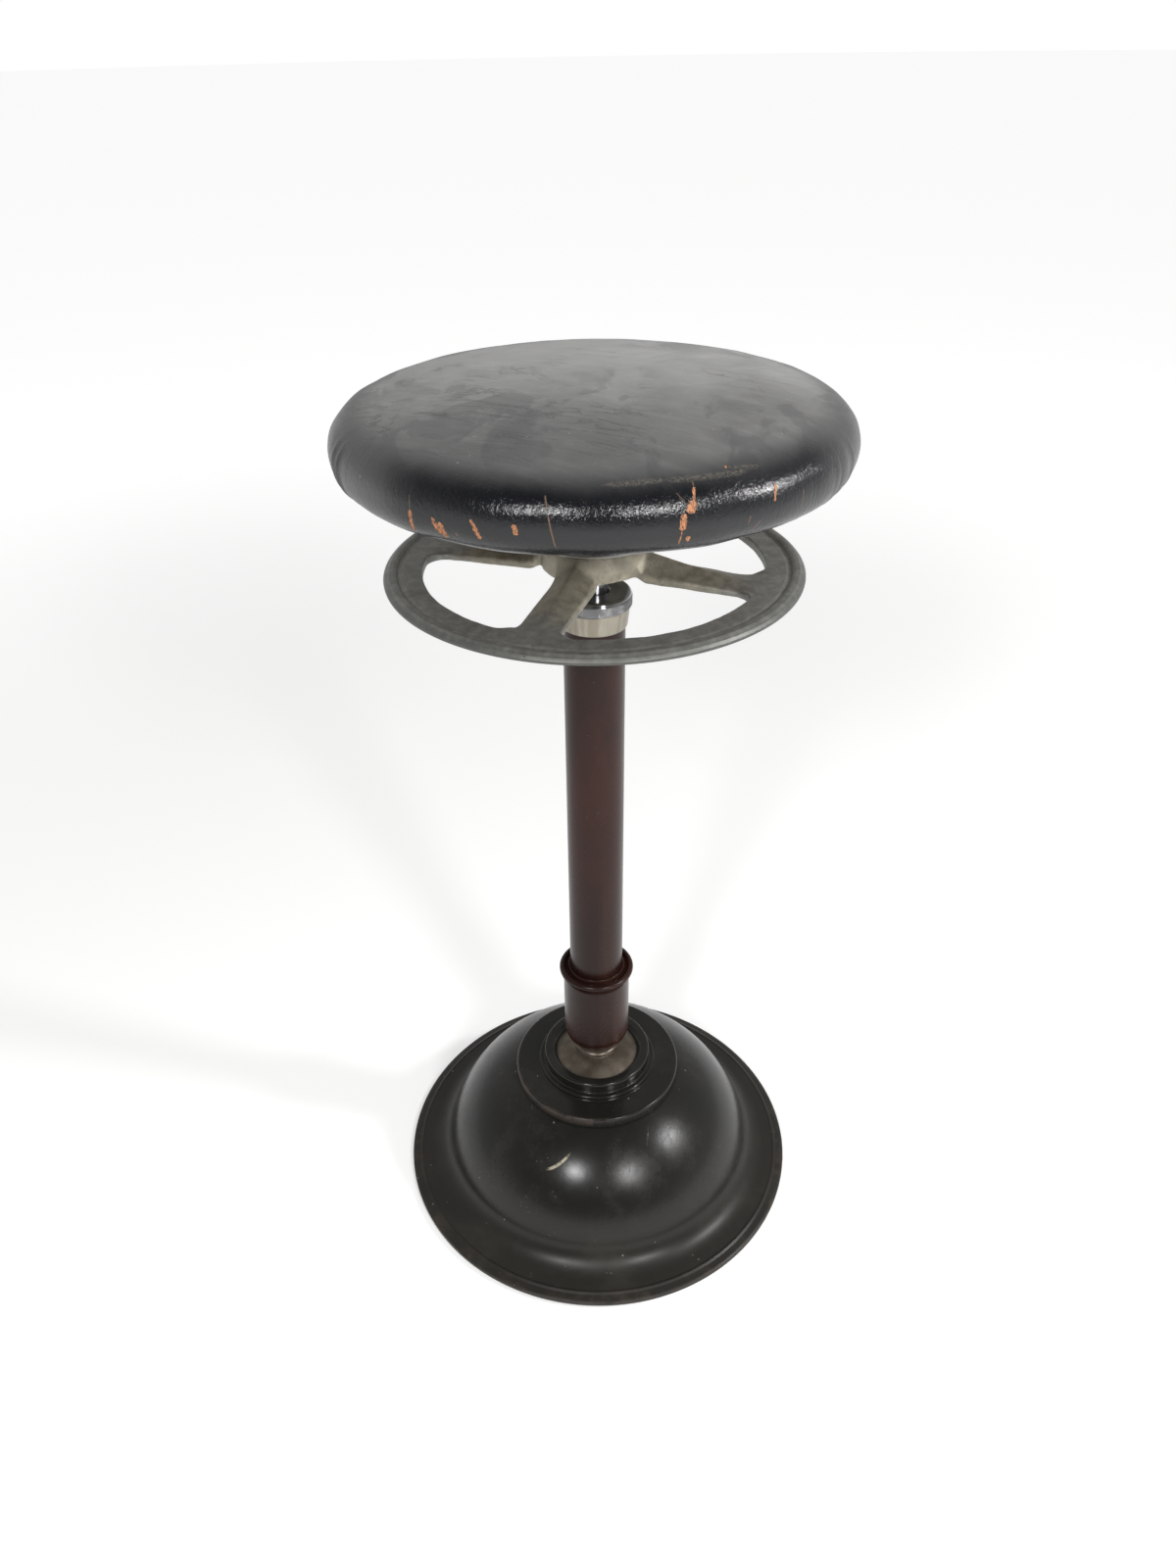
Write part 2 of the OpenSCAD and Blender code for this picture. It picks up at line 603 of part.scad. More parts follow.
module hub_nut() color([0.4, 0.4, 0.42]) difference() {
    washer(hub_seat_r + 5.5, hub_seat_r + slip, cup_floor, hub_nut_t);
    for (a = [0, 90]) rotate([0, 0, a]) translate([-hub_seat_r - 8, -1.5, cup_floor + hub_nut_t - 2])
        cube([2 * hub_seat_r + 16, 3, 3]);
}

// Outline of one opening of the wheel, between the spoke along +X and the spoke along +Y
function opening() = let (
    rim_y = spoke_half + open_fillet, rim_x = sqrt(pow(open_r - open_fillet, 2) - rim_y * rim_y),
    hub_open = hub_r + 0.5, hub_y = spoke_half + hub_fillet,
    hub_x = sqrt(pow(hub_open + hub_fillet, 2) - hub_y * hub_y),
    rim_a = atan2(rim_y, rim_x), hub_a = atan2(hub_y, hub_x))
    concat(
        arc(rim_x, rim_y, open_fillet, -90, rim_a, 7),
        arc(0, 0, open_r, rim_a + 3, 87 - rim_a, 16),
        arc(rim_y, rim_x, open_fillet, 90 - rim_a, 180, 7),
        arc(hub_y, hub_x, hub_fillet, 180, 270 - hub_a, 5),
        arc(0, 0, hub_open, 88 - hub_a, hub_a + 2, 4),
        arc(hub_x, hub_y, hub_fillet, 180 + hub_a, 270, 5));

// Height of the plate's upper face, and of a rib's crest above it, at a radius
function plate_at(r) = plate_z + plate_drop * (open_r - r) / (open_r - hub_r);
function crest_at(r) = rib_h * pow((rib_end - r) / (rib_end - hub_r), 1.8);

// Height of a ridge with a rounded crest, from 1 at its middle to 0 at t = 1
function ridge_at(t) = let (r = rib_round * rib_round, top = sqrt(1 + r))
    (top - sqrt(t * t + r)) / (top - rib_round);

// One rib along +X: a ridge over the whole spoke that sinks towards the rim
module rib() {
    stations = 12;
    side = 7;
    rib_root = 1.8;
    start = cup_in + 1;
    points = [for (i = [0:stations])
        let (r = start + (rib_end - start) * i / stations, h = crest_at(r) + 0.02,
             w = rib_half - rib_taper * (i / stations), z = plate_at(r) - rib_root)
        each concat([for (k = [-side:side]) let (t = k / side)
            [r, w * t, z + rib_root + h * ridge_at(t) - (abs(k) == side ? 0.3 : 0)]],
            [[r, w, z], [r, -w, z]])];
    m = 2 * side + 3;
    polyhedron(points, concat(
        [[for (k = [m - 1:-1:0]) k]],
        [for (i = [0:stations - 1], k = [0:m - 1]) let (j = (k + 1) % m)
            each [[i * m + k, (i + 1) * m + j, (i + 1) * m + k], [i * m + k, i * m + j, (i + 1) * m + j]]],
        [[for (k = [0:m - 1]) stations * m + k]]), convexity = 4);
}

module handwheel() color([0.5, 0.5, 0.46]) difference() {
    union() {
        difference() {
            turned(concat(
                [[hub_seat_r + slip, hub_z], [hub_r - 3, hub_z], [hub_r, plate_low + plate_drop / 2], [rim_r, plate_low]],
                arc(wheel_r - wheel_bead, bead_z, wheel_bead, -90, 90, 12),
                [[wheel_r - 3 * wheel_bead, plate_z + 0.5], [wheel_r - 3.3 * wheel_bead, plate_z - 0.5],
                 [wheel_r - 3.9 * wheel_bead, plate_z], [rim_r, plate_z], [hub_r + 2, plate_at(hub_r + 2)],
                 [hub_r, plate_at(hub_r) + 2]],
                arc(hub_r - 2, hub_top - 2, 2, 0, 90, 4),
                [[cup_in, hub_top], [cup_in, cup_floor], [hub_seat_r + slip, cup_floor]]));
            for (k = [0:3]) rotate([0, 0, spoke_turn + 90 * k]) translate([0, 0, hub_z - 20])
                linear_extrude(hub_h + 40) polygon(opening());
        }
        for (k = [0:3]) rotate([0, 0, spoke_turn + 90 * k]) rib();
    }
    translate([hub_seat_r - 1, -key_w / 2 - slip, hub_z - 1])
        cube([key_w / 2 + 1 + slip, key_w + 2 * slip, cup_floor - hub_z + 2]);
}

module lower_race() color([0.65, 0.65, 0.67]) difference() {
    washer(race_out, race_in, cup_floor, race_t);
    translate([0, 0, ball_z]) rotate_extrude() translate([pitch_r, 0]) circle(r = ball_r + slip);
}

module upper_race() color([0.65, 0.65, 0.67]) difference() {
    washer(race_out, race_in, upper_race_z, race_t);
    translate([0, 0, ball_z]) rotate_extrude() translate([pitch_r, 0]) circle(r = ball_r + slip);
}

module bearing_balls() color([0.8, 0.8, 0.82])
    around(ball_count, pitch_r) translate([0, 0, ball_z]) sphere(r = ball_r);

module ball_cage() color([0.62, 0.5, 0.28]) difference() {
    washer(race_out - 2, race_in + 2, ball_z - 1, 2);
    around(ball_count, pitch_r) translate([0, 0, ball_z - 3]) cylinder(r = ball_r + 2 * slip, h = 6);
}

module dust_washer() color([0.5, 0.5, 0.5]) washer(dust_r, journal_r + 1.5, dust_z, dust_t);

module swivel_washer() color([0.5, 0.5, 0.5])
    washer(journal_r + 6, journal_r + slip, bush_top + face_gap, swivel_washer_t);

module swivel_nut() color([0.4, 0.4, 0.42])
    hex_nut(journal_r * 2.6, journal_r + slip, bush_top + face_gap + swivel_washer_t, swivel_nut_t);

module bracket_bush() color([0.62, 0.47, 0.25])
    washer(journal_r + bush_wall, journal_r + slip, bracket_z, bush_top - bracket_z);

module seat_bracket() color([0.09, 0.09, 0.09]) {
    bush_hole = journal_r + bush_wall + slip;
    under = board_z - bracket_t;
    difference() {
        union() {
            turned(concat(
                [[bush_hole, bracket_z], [bracket_foot_r - edge, bracket_z]],
                arc(bracket_foot_r - 2, bracket_z + 3.5, 2, 0, 90, 4),
                curve([bracket_foot_r - 6, bracket_z + 6.5], [bracket_neck_r + 3, bracket_z + 9],
                    [bracket_neck_r, bracket_z + 14], [bracket_neck_r, under - 12], 8),
                arc(bracket_neck_r + bracket_neck_fillet, under - bracket_neck_fillet, bracket_neck_fillet,
                    180, 90, 6),
                [[bracket_r, under + bracket_taper], [bracket_r, board_z],
                 [journal_r + 9, board_z], [journal_r + 9, bush_top], [bush_hole, bush_top]]));
            for (k = [0:bracket_arms - 1]) rotate([90, 0, 180 / bracket_arms + k * 360 / bracket_arms])
                translate([0, 0, -arm_t / 2]) linear_extrude(arm_t) polygon([[bracket_neck_r - 2, bracket_z + 14],
                    [bracket_neck_r + 8, under - 14], [bracket_r - 6, under + 1], [bracket_r - 6, under + 3],
                    [bracket_neck_r - 2, under + 3]]);
        }
        around(bracket_arms, screw_circle) translate([0, 0, under - 5]) cylinder(r = seat_screw_r + slip, h = 20);
    }
}

module bracket_screws() color([0.45, 0.45, 0.45]) around(bracket_arms, screw_circle) {
    flat_in = bracket_neck_r + bracket_neck_fillet;
    head_z = board_z - bracket_t + bracket_taper * (screw_circle - flat_in) / (bracket_r - flat_in);
    translate([0, 0, head_z - 1]) cylinder(r = seat_screw_r, h = 1 + board_z - head_z + board_t * 0.5);
    translate([0, 0, head_z - 2.5]) cylinder(r1 = 3, r2 = 4.6, h = 2.4);
}

module seat_board() color([0.55, 0.4, 0.25]) turned([[0, board_z], [board_r - 2, board_z],
    [board_r, board_z + 2], [board_r, board_z + board_t - 3], [board_r - 3, board_z + board_t],
    [0, board_z + board_t]]);

// Outline of the cushion from the middle of its top round to the underside, drawn in by t
function cushion(t) = let (top = board_z + shoulder_z + crown_rise, wide = board_z + seat_bulge_z)
    concat(
        [for (i = [0:14]) let (r = shoulder_r * i / 14)
            [r, top - t - crown_rise * pow(r / shoulder_r, 3.3)]],
        curve([shoulder_r, top - crown_rise - t],
            [shoulder_r + 0.58 * (seat_r - shoulder_r), top - crown_rise - t - 3],
            [seat_r - t, wide + 12], [seat_r - t, wide], 12),
        curve([seat_r - t, wide], [seat_r - t, wide - 9.5], [seat_r - t - 4.5, board_z + 3],
            [board_r + 7 - 0.4 * t, board_z + 0.2 * t], 8));

module seat_pad() color([0.7, 0.66, 0.55]) {
    skin = cover_t + pad_gap;
    turned(concat(
        cushion(skin),
        [[board_r + pad_gap, board_z + 2], [board_r + pad_gap, board_z + board_t - 3 + pad_gap],
         [board_r - 3 + pad_gap, board_z + board_t + pad_gap], [0, board_z + board_t + pad_gap]]));
}

module seat_cover() color([0.07, 0.07, 0.08]) {
    outer = cushion(0);
    inner = cushion(cover_t);
    turned(concat(
        outer,
        [[board_r, board_z - cover_t - pad_gap - hem_drop], [turn_in_r, board_z - cover_t - pad_gap],
         [turn_in_r, board_z - pad_gap], [board_r + 2, board_z - pad_gap]],
        [for (i = [len(inner) - 1:-1:0]) inner[i]]));
}

module cover_tacks() color([0.3, 0.28, 0.25]) around(tack_count, tack_circle)
    translate([0, 0, board_z - cover_t - pad_gap - hem_drop]) {
        translate([0, 0, -1.4]) cylinder(r1 = 2.6, r2 = 4.4, h = 1.4);
        cylinder(r = tack_shank_r, h = tack_len);
    }

bell_base();
floor_ring();
socket_cap();
cap_bolts();
socket_seat();
centring_spring();
ball_washer();
cup_washer();
stem_nuts();
draw_stem();
ball_foot();
ferrule();
column_plug();
plug_rivets();
column_tube();
screw_nut();
top_collar();
collar_screw();
clamp_collet();
knurled_ring();
guide_bush();
guide_washer();
guide_nut();
screw_spindle();
hub_key();
hub_nut();
handwheel();
lower_race();
bearing_balls();
ball_cage();
upper_race();
dust_washer();
swivel_washer();
swivel_nut();
bracket_bush();
seat_bracket();
bracket_screws();
seat_board();
seat_pad();
seat_cover();
cover_tacks();
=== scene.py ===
# Dental stool: a worn black leather seat on a hand-wheel screw, over a brown tube column whose
# ball foot leans in a socket on a black iron bell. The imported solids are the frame; smooth turned,
# cast and upholstered pieces stand for the ones that show. Lengths are in mm until a mesh is made.
from math import acos, asin, atan2, cos, degrees, hypot, pi, radians, sin, sqrt, tan
from types import SimpleNamespace as Named

import bmesh
import bpy
import numpy as np
from mathutils import Matrix, Vector, noise


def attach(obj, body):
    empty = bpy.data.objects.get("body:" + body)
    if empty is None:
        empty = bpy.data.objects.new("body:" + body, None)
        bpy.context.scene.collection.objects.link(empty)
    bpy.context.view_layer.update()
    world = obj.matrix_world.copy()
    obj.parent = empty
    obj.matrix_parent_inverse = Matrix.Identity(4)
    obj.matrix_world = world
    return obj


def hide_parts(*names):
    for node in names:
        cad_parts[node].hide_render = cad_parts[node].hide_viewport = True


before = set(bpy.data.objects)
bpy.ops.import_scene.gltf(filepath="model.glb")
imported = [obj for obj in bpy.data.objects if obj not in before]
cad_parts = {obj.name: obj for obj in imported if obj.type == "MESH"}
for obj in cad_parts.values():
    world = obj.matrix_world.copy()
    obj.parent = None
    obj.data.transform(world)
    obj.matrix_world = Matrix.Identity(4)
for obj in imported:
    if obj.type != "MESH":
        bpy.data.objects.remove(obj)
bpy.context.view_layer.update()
mm = 0.001
print("frame loaded")


# camera, lamps, floor

studio = dict(
    eye=(0.0, -735.75, 911.21),
    down=34.038, yaw=-1.294, roll=-1.09,
    lens=26.407, shift=(0.00916, 0.0005),
    aim=(0.0, -80.0, 120.0), lampReach=2050.0,
    lamps={"frontLeft": ((-0.27, -0.686, 0.675), 15.0, 310.0),  # towards the lamp, watts, width
           "frontRight": ((0.384, -0.684, 0.621), 15.0, 310.0),
           "right": ((0.772, -0.149, 0.617), 16.5, 200.0)},
    roomLight=0.44, roomShine=0.6, ceilingShine=0.4,
    flag=(0.0, -0.72, 0.69), flagShine=0.07,  # dark side of the room, behind the camera
    floorColour=(0.8, 0.8, 0.79), floorNear=0.3, floorFar=0.6, floorR=30.0,
)


def setCamera():
    down, yaw, roll = (radians(studio[key]) for key in ("down", "yaw", "roll"))
    ahead = Vector((sin(yaw) * cos(down), cos(yaw) * cos(down), -sin(down)))
    right = Vector((cos(yaw), -sin(yaw), 0))
    up = right.cross(ahead)
    across = cos(roll) * right + sin(roll) * up
    upward = cos(roll) * up - sin(roll) * right
    lensData = bpy.data.cameras.new("camera")
    lensData.lens, lensData.sensor_width, lensData.clip_start = studio["lens"], 36, 0.02
    lensData.shift_x, lensData.shift_y = studio["shift"]
    camera = bpy.data.objects.new("camera", lensData)
    turn = Matrix((across, upward, -ahead)).transposed().to_4x4()
    camera.matrix_world = Matrix.Translation(Vector(studio["eye"]) * mm) @ turn
    bpy.context.scene.collection.objects.link(camera)
    bpy.context.scene.camera = camera


def setLamps():
    aim = Vector(studio["aim"]) * mm
    for name, (towards, power, width) in studio["lamps"].items():
        lamp = bpy.data.lights.new(name, "AREA")
        lamp.shape, lamp.size, lamp.energy = "DISK", width * mm, power
        holder = bpy.data.objects.new(name, lamp)
        place = aim + Vector(towards).normalized() * studio["lampReach"] * mm
        turn = (place - aim).to_track_quat("Z", "Y").to_matrix().to_4x4()
        holder.matrix_world = Matrix.Translation(place) @ turn
        bpy.context.scene.collection.objects.link(holder)


# shader and geometry maths

class Wire:  # a node's output; arithmetic on it adds maths nodes
    def __init__(self, net, socket):
        self.net, self.socket = net, socket

    def __abs__(self):
        return self.net.op("ABSOLUTE", self)


operators = {"add": "ADD", "sub": "SUBTRACT", "mul": "MULTIPLY", "truediv": "DIVIDE", "pow": "POWER"}
for name, kind in operators.items():
    setattr(Wire, f"__{name}__", lambda self, other, kind=kind: self.net.op(kind, self, other))
    setattr(Wire, f"__r{name}__", lambda self, other, kind=kind: self.net.op(kind, other, self))


class Net:
    def __init__(self, tree):
        self.tree = tree
        tree.nodes.clear()

    def node(self, kind, inputs=None, settings=None, out=0):
        made = self.tree.nodes.new(kind)
        for key, value in (settings or {}).items():
            setattr(made, key, value)
        for key, value in (inputs or {}).items():
            if isinstance(value, Wire):
                self.tree.links.new(value.socket, made.inputs[key])
            elif value is not None:
                made.inputs[key].default_value = value
        return Wire(self, made.outputs[out]) if len(made.outputs) else None

    def op(self, kind, a, b=None):
        return self.node("ShaderNodeMath", {0: a, 1: b}, {"operation": kind})

    def blend(self, share, a, b):
        a, b = ((*c, 1) if isinstance(c, tuple) else c for c in (a, b))
        return self.node("ShaderNodeMix", {0: share, 6: a, 7: b}, {"data_type": "RGBA"}, 2)

    def step(self, value, low, high, to=(0.0, 1.0)):  # smooth step, either way round
        limits = {0: value, 1: low, 2: high, 3: to[0], 4: to[1]}
        return self.node("ShaderNodeMapRange", limits, {"interpolation_type": "SMOOTHSTEP"})

    def cloud(self, scale, detail=3.0, rough=0.55, at=None, warp=0.0):
        return self.node("ShaderNodeTexNoise", {
            "Vector": at or self.place(), "Scale": scale, "Detail": detail, "Roughness": rough,
            "Distortion": warp})

    def patch(self, low, high, *cloud):
        return self.step(self.cloud(*cloud), low, high)

    def cells(self, scale, at=None, feature="F1"):
        at = at or self.place()
        return self.node("ShaderNodeTexVoronoi", {"Vector": at, "Scale": scale}, {"feature": feature})

    def place(self):
        return self.node("ShaderNodeTexCoord", out="Object")

    def stretch(self, size, at=None, turn=(0, 0, 0)):
        at = at or self.place()
        return self.node("ShaderNodeMapping", {"Vector": at, "Rotation": turn, "Scale": size})

    def split(self, vector=None):
        vector = vector or self.place()
        return [self.node("ShaderNodeSeparateXYZ", {0: vector}, out=axis) for axis in "XYZ"]

    def join(self, x=0.0, y=0.0, z=0.0):
        return self.node("ShaderNodeCombineXYZ", {0: x, 1: y, 2: z})

    def height(self):
        return self.split()[2]

    def radius(self):
        x, y, _ = self.split()
        return self.op("SQRT", x * x + y * y)

    def rays(self):  # seen by the camera, mirrored, seen through glass
        return [self.node("ShaderNodeLightPath", out=f"Is {kind} Ray")
                for kind in ("Camera", "Glossy", "Transmission")]

    def coat(self, tone, rough, relief=None, deep=0.0001, strength=0.5, metal=0.0, specular=0.5, sheen=0.0):
        bump = {"Height": relief, "Distance": deep, "Strength": strength}
        bump = relief and self.node("ShaderNodeBump", bump)
        return {"Base Color": tone, "Roughness": rough, "Metallic": metal, "Specular IOR Level": specular,
                "Sheen Weight": sheen, "Normal": bump}


finishes = {}


def addFinish(name, slot, make):
    material = bpy.data.materials.new(name)
    material.use_nodes = True
    net = Net(material.node_tree)
    shader = net.node("ShaderNodeBsdfPrincipled", make(net))
    net.node("ShaderNodeOutputMaterial", {0: shader})
    finishes[name] = (material, slot)


def blackEnamel(net):
    x, y, z = net.split()
    reach = net.radius()
    smear = net.cloud(7, 4, 0.6)
    dust = net.patch(0.45, 0.75, 24, 5, 0.65)
    # the sweep and the skirt are duller than the dome
    low = net.step(reach, 0.118, 0.155) * net.step(z, 0.09, 0.06)
    specks = net.step(net.cells(105), 0.1, 0.05) * net.patch(0.53, 0.62, 28, 2)
    chips = net.step(net.cells(330), 0.15, 0.08) * net.patch(0.59, 0.66, 50, 3)
    rimWear = net.step(reach, 0.162, 0.178) * net.patch(0.45, 0.7, 60, 4, 0.7)
    crestWear = net.step(reach, 0.1762, 0.1774) * net.step(z, 0.0050, 0.0064) * net.patch(0.42, 0.58, 40, 3)
    capWear = net.step(reach, 0.0704, 0.0728) * net.step(reach, 0.0745, 0.0736) * net.step(z, 0.103, 0.110)
    capWear = capWear * net.step(net.cloud(38, 4, 0.7) - x * 2.5, 0.47, 0.72)
    worn = net.op("MAXIMUM", net.op("MAXIMUM", rimWear * 0.3, capWear * 0.4), crestWear * 0.8)
    tone = net.blend(smear, (0.0075, 0.0077, 0.0078), (0.0140, 0.0130, 0.0103))
    tone = net.blend(dust * 0.3 + low * 0.22, tone, (0.040, 0.036, 0.028))
    tone = net.blend(worn, tone, (0.085, 0.057, 0.040))
    tone = net.blend(net.op("MAXIMUM", specks * 0.9, chips * 0.7), tone, (0.22, 0.20, 0.165))
    dx, dz = x + 0.0335, z - 0.084  # one long scratch in front, on the left
    along, off = dx * 0.87 + dz * 0.49, abs(dz * 0.87 - dx * 0.49 - net.op("POWER", dx, 2.0) * 9.0)
    scratch = net.step(abs(along), 0.0135, 0.006) * net.step(y, -0.06, -0.09)
    scratch = scratch * net.step(off - scratch * 0.0003, 0.0007, 0.0002) * net.patch(0.25, 0.5, 420, 3)
    tone = net.blend(scratch, tone, (0.36, 0.33, 0.23))
    slanted = net.stretch((1, 0.14, 0.6), None, (0.3, 0.5, 0.9))
    fine = net.step(net.cells(60, slanted, "DISTANCE_TO_EDGE"), 0.008, 0.0)
    fine = fine * net.patch(0.48, 0.62, 26, 3)
    smudge = net.cloud(85, 4, 0.7, net.stretch((1, 1, 0.5)))
    cap = net.step(reach, 0.0705, 0.0695) * net.step(z, 0.088, 0.094)  # the socket cap has kept its polish
    gloss = 0.17 + smear * 0.07 + dust * 0.08 + low * 0.13 + worn * 0.25 + smudge * 0.08 - cap * 0.09
    relief = net.cloud(300, 2) * 0.3 + net.cloud(40, 3) * 1.1 - specks * 1.2 - fine * 0.4 + smudge * 0.7
    return net.coat(tone, gloss, relief, 0.00012, specular=0.33)


def brownEnamel(net):
    grain = net.cloud(30, 5, 0.6, net.stretch((1, 1, 0.06)))
    blotch = net.cloud(14, 4, 0.6, net.stretch((1, 1, 0.4)))
    tone = net.blend(net.step(blotch, 0.38, 0.68), (0.0145, 0.0050, 0.0038), (0.033, 0.0093, 0.0054))
    tone = net.blend(net.step(grain, 0.5, 0.72) * 0.45, tone, (0.047, 0.0185, 0.0102))
    chips = net.step(net.cells(160), 0.07, 0.03) * net.patch(0.5, 0.6, 30, 2)
    tone = net.blend(chips, tone, (0.16, 0.12, 0.09))
    gloss = 0.2 + net.cloud(22, 4) * 0.14 + chips * 0.3
    relief = net.cloud(260, 2) * 0.3 + grain * 0.5 - chips * 1.5
    return net.coat(tone, gloss, relief, specular=0.24)


def wornIron(net):
    z = net.height()
    rub = net.cloud(55, 4, 0.55)
    rings = net.cloud(420, 2, 0.5, net.join(0.0, 0.0, z))
    tone = net.blend(net.step(rub, 0.35, 0.7), (0.088, 0.070, 0.053), (0.165, 0.140, 0.110))
    tone = net.blend(net.patch(0.58, 0.72, 170, 4, 0.7) * 0.5, tone, (0.055, 0.040, 0.030))
    return net.coat(tone, 0.26 + rub * 0.2, rub + rings * 0.5 + net.cloud(600, 3) * 0.25, 0.00007, metal=0.65)


def castAluminium(net):
    reach = net.radius()
    z = net.height()
    patch = net.cloud(28, 5, 0.62)
    mottle = net.cloud(160, 4, 0.65)
    inner = net.step(reach + patch * 0.03, 0.130, 0.085)
    tone = net.blend(net.step(mottle, 0.35, 0.7), (0.192, 0.195, 0.183), (0.275, 0.277, 0.258))
    warm = net.blend(net.step(mottle, 0.3, 0.7), (0.222, 0.204, 0.156), (0.35, 0.324, 0.258))
    tone = net.blend(inner, tone, warm)
    high = net.step(z, 0.5995, 0.606) * net.step(reach, 0.034, 0.036)  # the ridge crests and the top of the hub are lighter: painted highlight
    tone = net.blend(high * 0.35, tone, (0.42, 0.39, 0.315))
    # painted shade: the outer face of the rim bead, the low walls and the underside are darker
    wall = net.step(z, 0.5962, 0.5950)
    tone = net.blend(net.step(reach, 0.1395, 0.1425) * 0.55 + wall * 0.3, tone, (0.085, 0.085, 0.08))
    stain = net.patch(0.52, 0.74, 20, 6, 0.7, None, 0.6)
    tone = net.blend(stain * 0.5, tone, (0.115, 0.110, 0.096))
    streak = net.patch(0.55, 0.7, 60, 4, 0.7, net.stretch((1, 0.3, 1), None, (0, 0, 0.4)))
    tone = net.blend(streak * 0.35, tone, (0.15, 0.14, 0.115))
    pits = net.step(net.cells(260) - net.cloud(600, 2) * 0.05, 0.12, 0.05) * net.patch(0.5, 0.6, 40, 3)
    tone = net.blend(pits * 0.85, tone, (0.06, 0.054, 0.044))
    gloss = 0.46 + mottle * 0.18 - net.step(reach, 0.134, 0.138) * 0.08
    relief = net.cloud(900, 3, 0.7) * 0.25 + mottle * 0.9 + patch * 1.5 - pits * 1.6
    return net.coat(tone, gloss, relief, 0.00022, 0.6, metal=0.7)


def nickelPlate(net):
    brushed = net.cloud(700, 3, 0.6, net.stretch((1, 1, 0.04)))
    haze = net.cloud(60, 4)
    tone = net.blend(haze, (0.25, 0.23, 0.192), (0.36, 0.335, 0.28))
    spots = net.step(net.cells(420), 0.12, 0.05) * net.patch(0.5, 0.6, 120, 2)
    tarnish = net.patch(0.45, 0.65, 150, 3, 0.6, net.stretch((1, 1, 0.1)))
    tone = net.blend(tarnish * 0.5, tone, (0.17, 0.145, 0.105))
    tone = net.blend(spots, tone, (0.10, 0.08, 0.055))
    return net.coat(tone, 0.2 + haze * 0.14 + brushed * 0.08, brushed + haze, 0.00006, metal=1.0)


def ringSteel(net):
    reach = net.radius()
    z = net.height()
    haze = net.cloud(90, 4)
    tone = net.blend(haze, (0.22, 0.22, 0.225), (0.34, 0.34, 0.35))
    grooves = net.step(reach, 0.0269, 0.0263) * net.step(reach, 0.0250, 0.0258)
    grooves = grooves * net.step(z, 0.5750, 0.5742)
    tone = net.blend(grooves * 0.75, tone, (0.05, 0.048, 0.045))
    # painted reflection: the crown's top face is darker, as the dark seat above would mirror in it
    tone = net.blend(net.step(z, 0.5768, 0.5775) * 0.55, tone, (0.12, 0.122, 0.128))
    return net.coat(tone, 0.1 + haze * 0.1 + grooves * 0.2, haze, 0.00003, 0.4, metal=1.0)


def turnedSteel(net):
    z = net.height()
    rings = net.cloud(900, 2, 0.5, net.join(0.0, 0.0, z))
    haze = net.cloud(60, 4)
    tone = net.blend(haze, (0.34, 0.34, 0.35), (0.48, 0.48, 0.49))
    return net.coat(tone, 0.14 + haze * 0.12 + rings * 0.06, rings, 0.00002, 0.4, metal=1.0)


def plainSteel(net):
    haze = net.cloud(120, 4, 0.6)
    stain = net.patch(0.52, 0.72, 45, 5, 0.7)
    tone = net.blend(haze, (0.26, 0.255, 0.25), (0.38, 0.375, 0.365))
    tone = net.blend(stain * 0.6, tone, (0.11, 0.075, 0.05))
    return net.coat(tone, 0.34 + haze * 0.15 + stain * 0.15, haze + net.cloud(700, 2) * 0.4, metal=0.9)


def rawIron(net):
    grit = net.cloud(420, 4, 0.7)
    rust = net.patch(0.48, 0.7, 34, 5, 0.7)
    tone = net.blend(rust * 0.6, (0.085, 0.08, 0.075), (0.11, 0.06, 0.035))
    return net.coat(tone, 0.6 + rust * 0.2, grit, 0.0003, 0.6, metal=0.6)


def springSteel(net):
    haze = net.cloud(160, 4)
    tone = net.blend(net.step(haze, 0.4, 0.7), (0.16, 0.155, 0.15), (0.30, 0.29, 0.28))
    return net.coat(tone, 0.32 + haze * 0.2, net.cloud(800, 3), metal=0.9)


def oldBronze(net):
    haze = net.cloud(80, 5, 0.6)
    tone = net.blend(net.step(haze, 0.38, 0.68), (0.22, 0.13, 0.055), (0.52, 0.36, 0.16))
    return net.coat(tone, 0.3 + haze * 0.2, net.cloud(600, 2), 0.00006, 0.4, metal=0.95)


def ballSteel(net):
    haze = net.cloud(200, 2)
    return net.coat(net.blend(haze, (0.6, 0.6, 0.62), (0.72, 0.72, 0.74)), 0.08 + haze * 0.06, metal=1.0)


def floorRubber(net):
    dust = net.cloud(60, 5, 0.65)
    tone = net.blend(net.step(dust, 0.45, 0.7), (0.016, 0.0155, 0.015), (0.05, 0.046, 0.04))
    return net.coat(tone, 0.62 + dust * 0.2, net.cloud(500, 3), 0.0002)


def boardWood(net):
    grain = net.cloud(26, 6, 0.6, net.stretch((0.25, 2.4, 2.4)), 1.2)
    pores = net.patch(0.6, 0.75, 340, 3, 0.6, net.stretch((0.08, 1, 1)))
    tone = net.blend(net.step(grain, 0.35, 0.65), (0.36, 0.22, 0.115), (0.20, 0.11, 0.052))
    tone = net.blend(pores * 0.6, tone, (0.08, 0.045, 0.025))
    return net.coat(tone, 0.62 + grain * 0.15, grain - pores, 0.0003)


def feltStuffing(net):
    fibres = net.cloud(900, 4, 0.75, None, 1.5)
    clumps = net.cloud(60, 4)
    tone = net.blend(clumps, (0.42, 0.37, 0.27), (0.60, 0.55, 0.43))
    tone = net.blend(net.step(fibres, 0.45, 0.6) * 0.4, tone, (0.30, 0.25, 0.18))
    return net.coat(tone, 0.95, fibres + clumps * 2, 0.0008, 0.8, sheen=0.3)


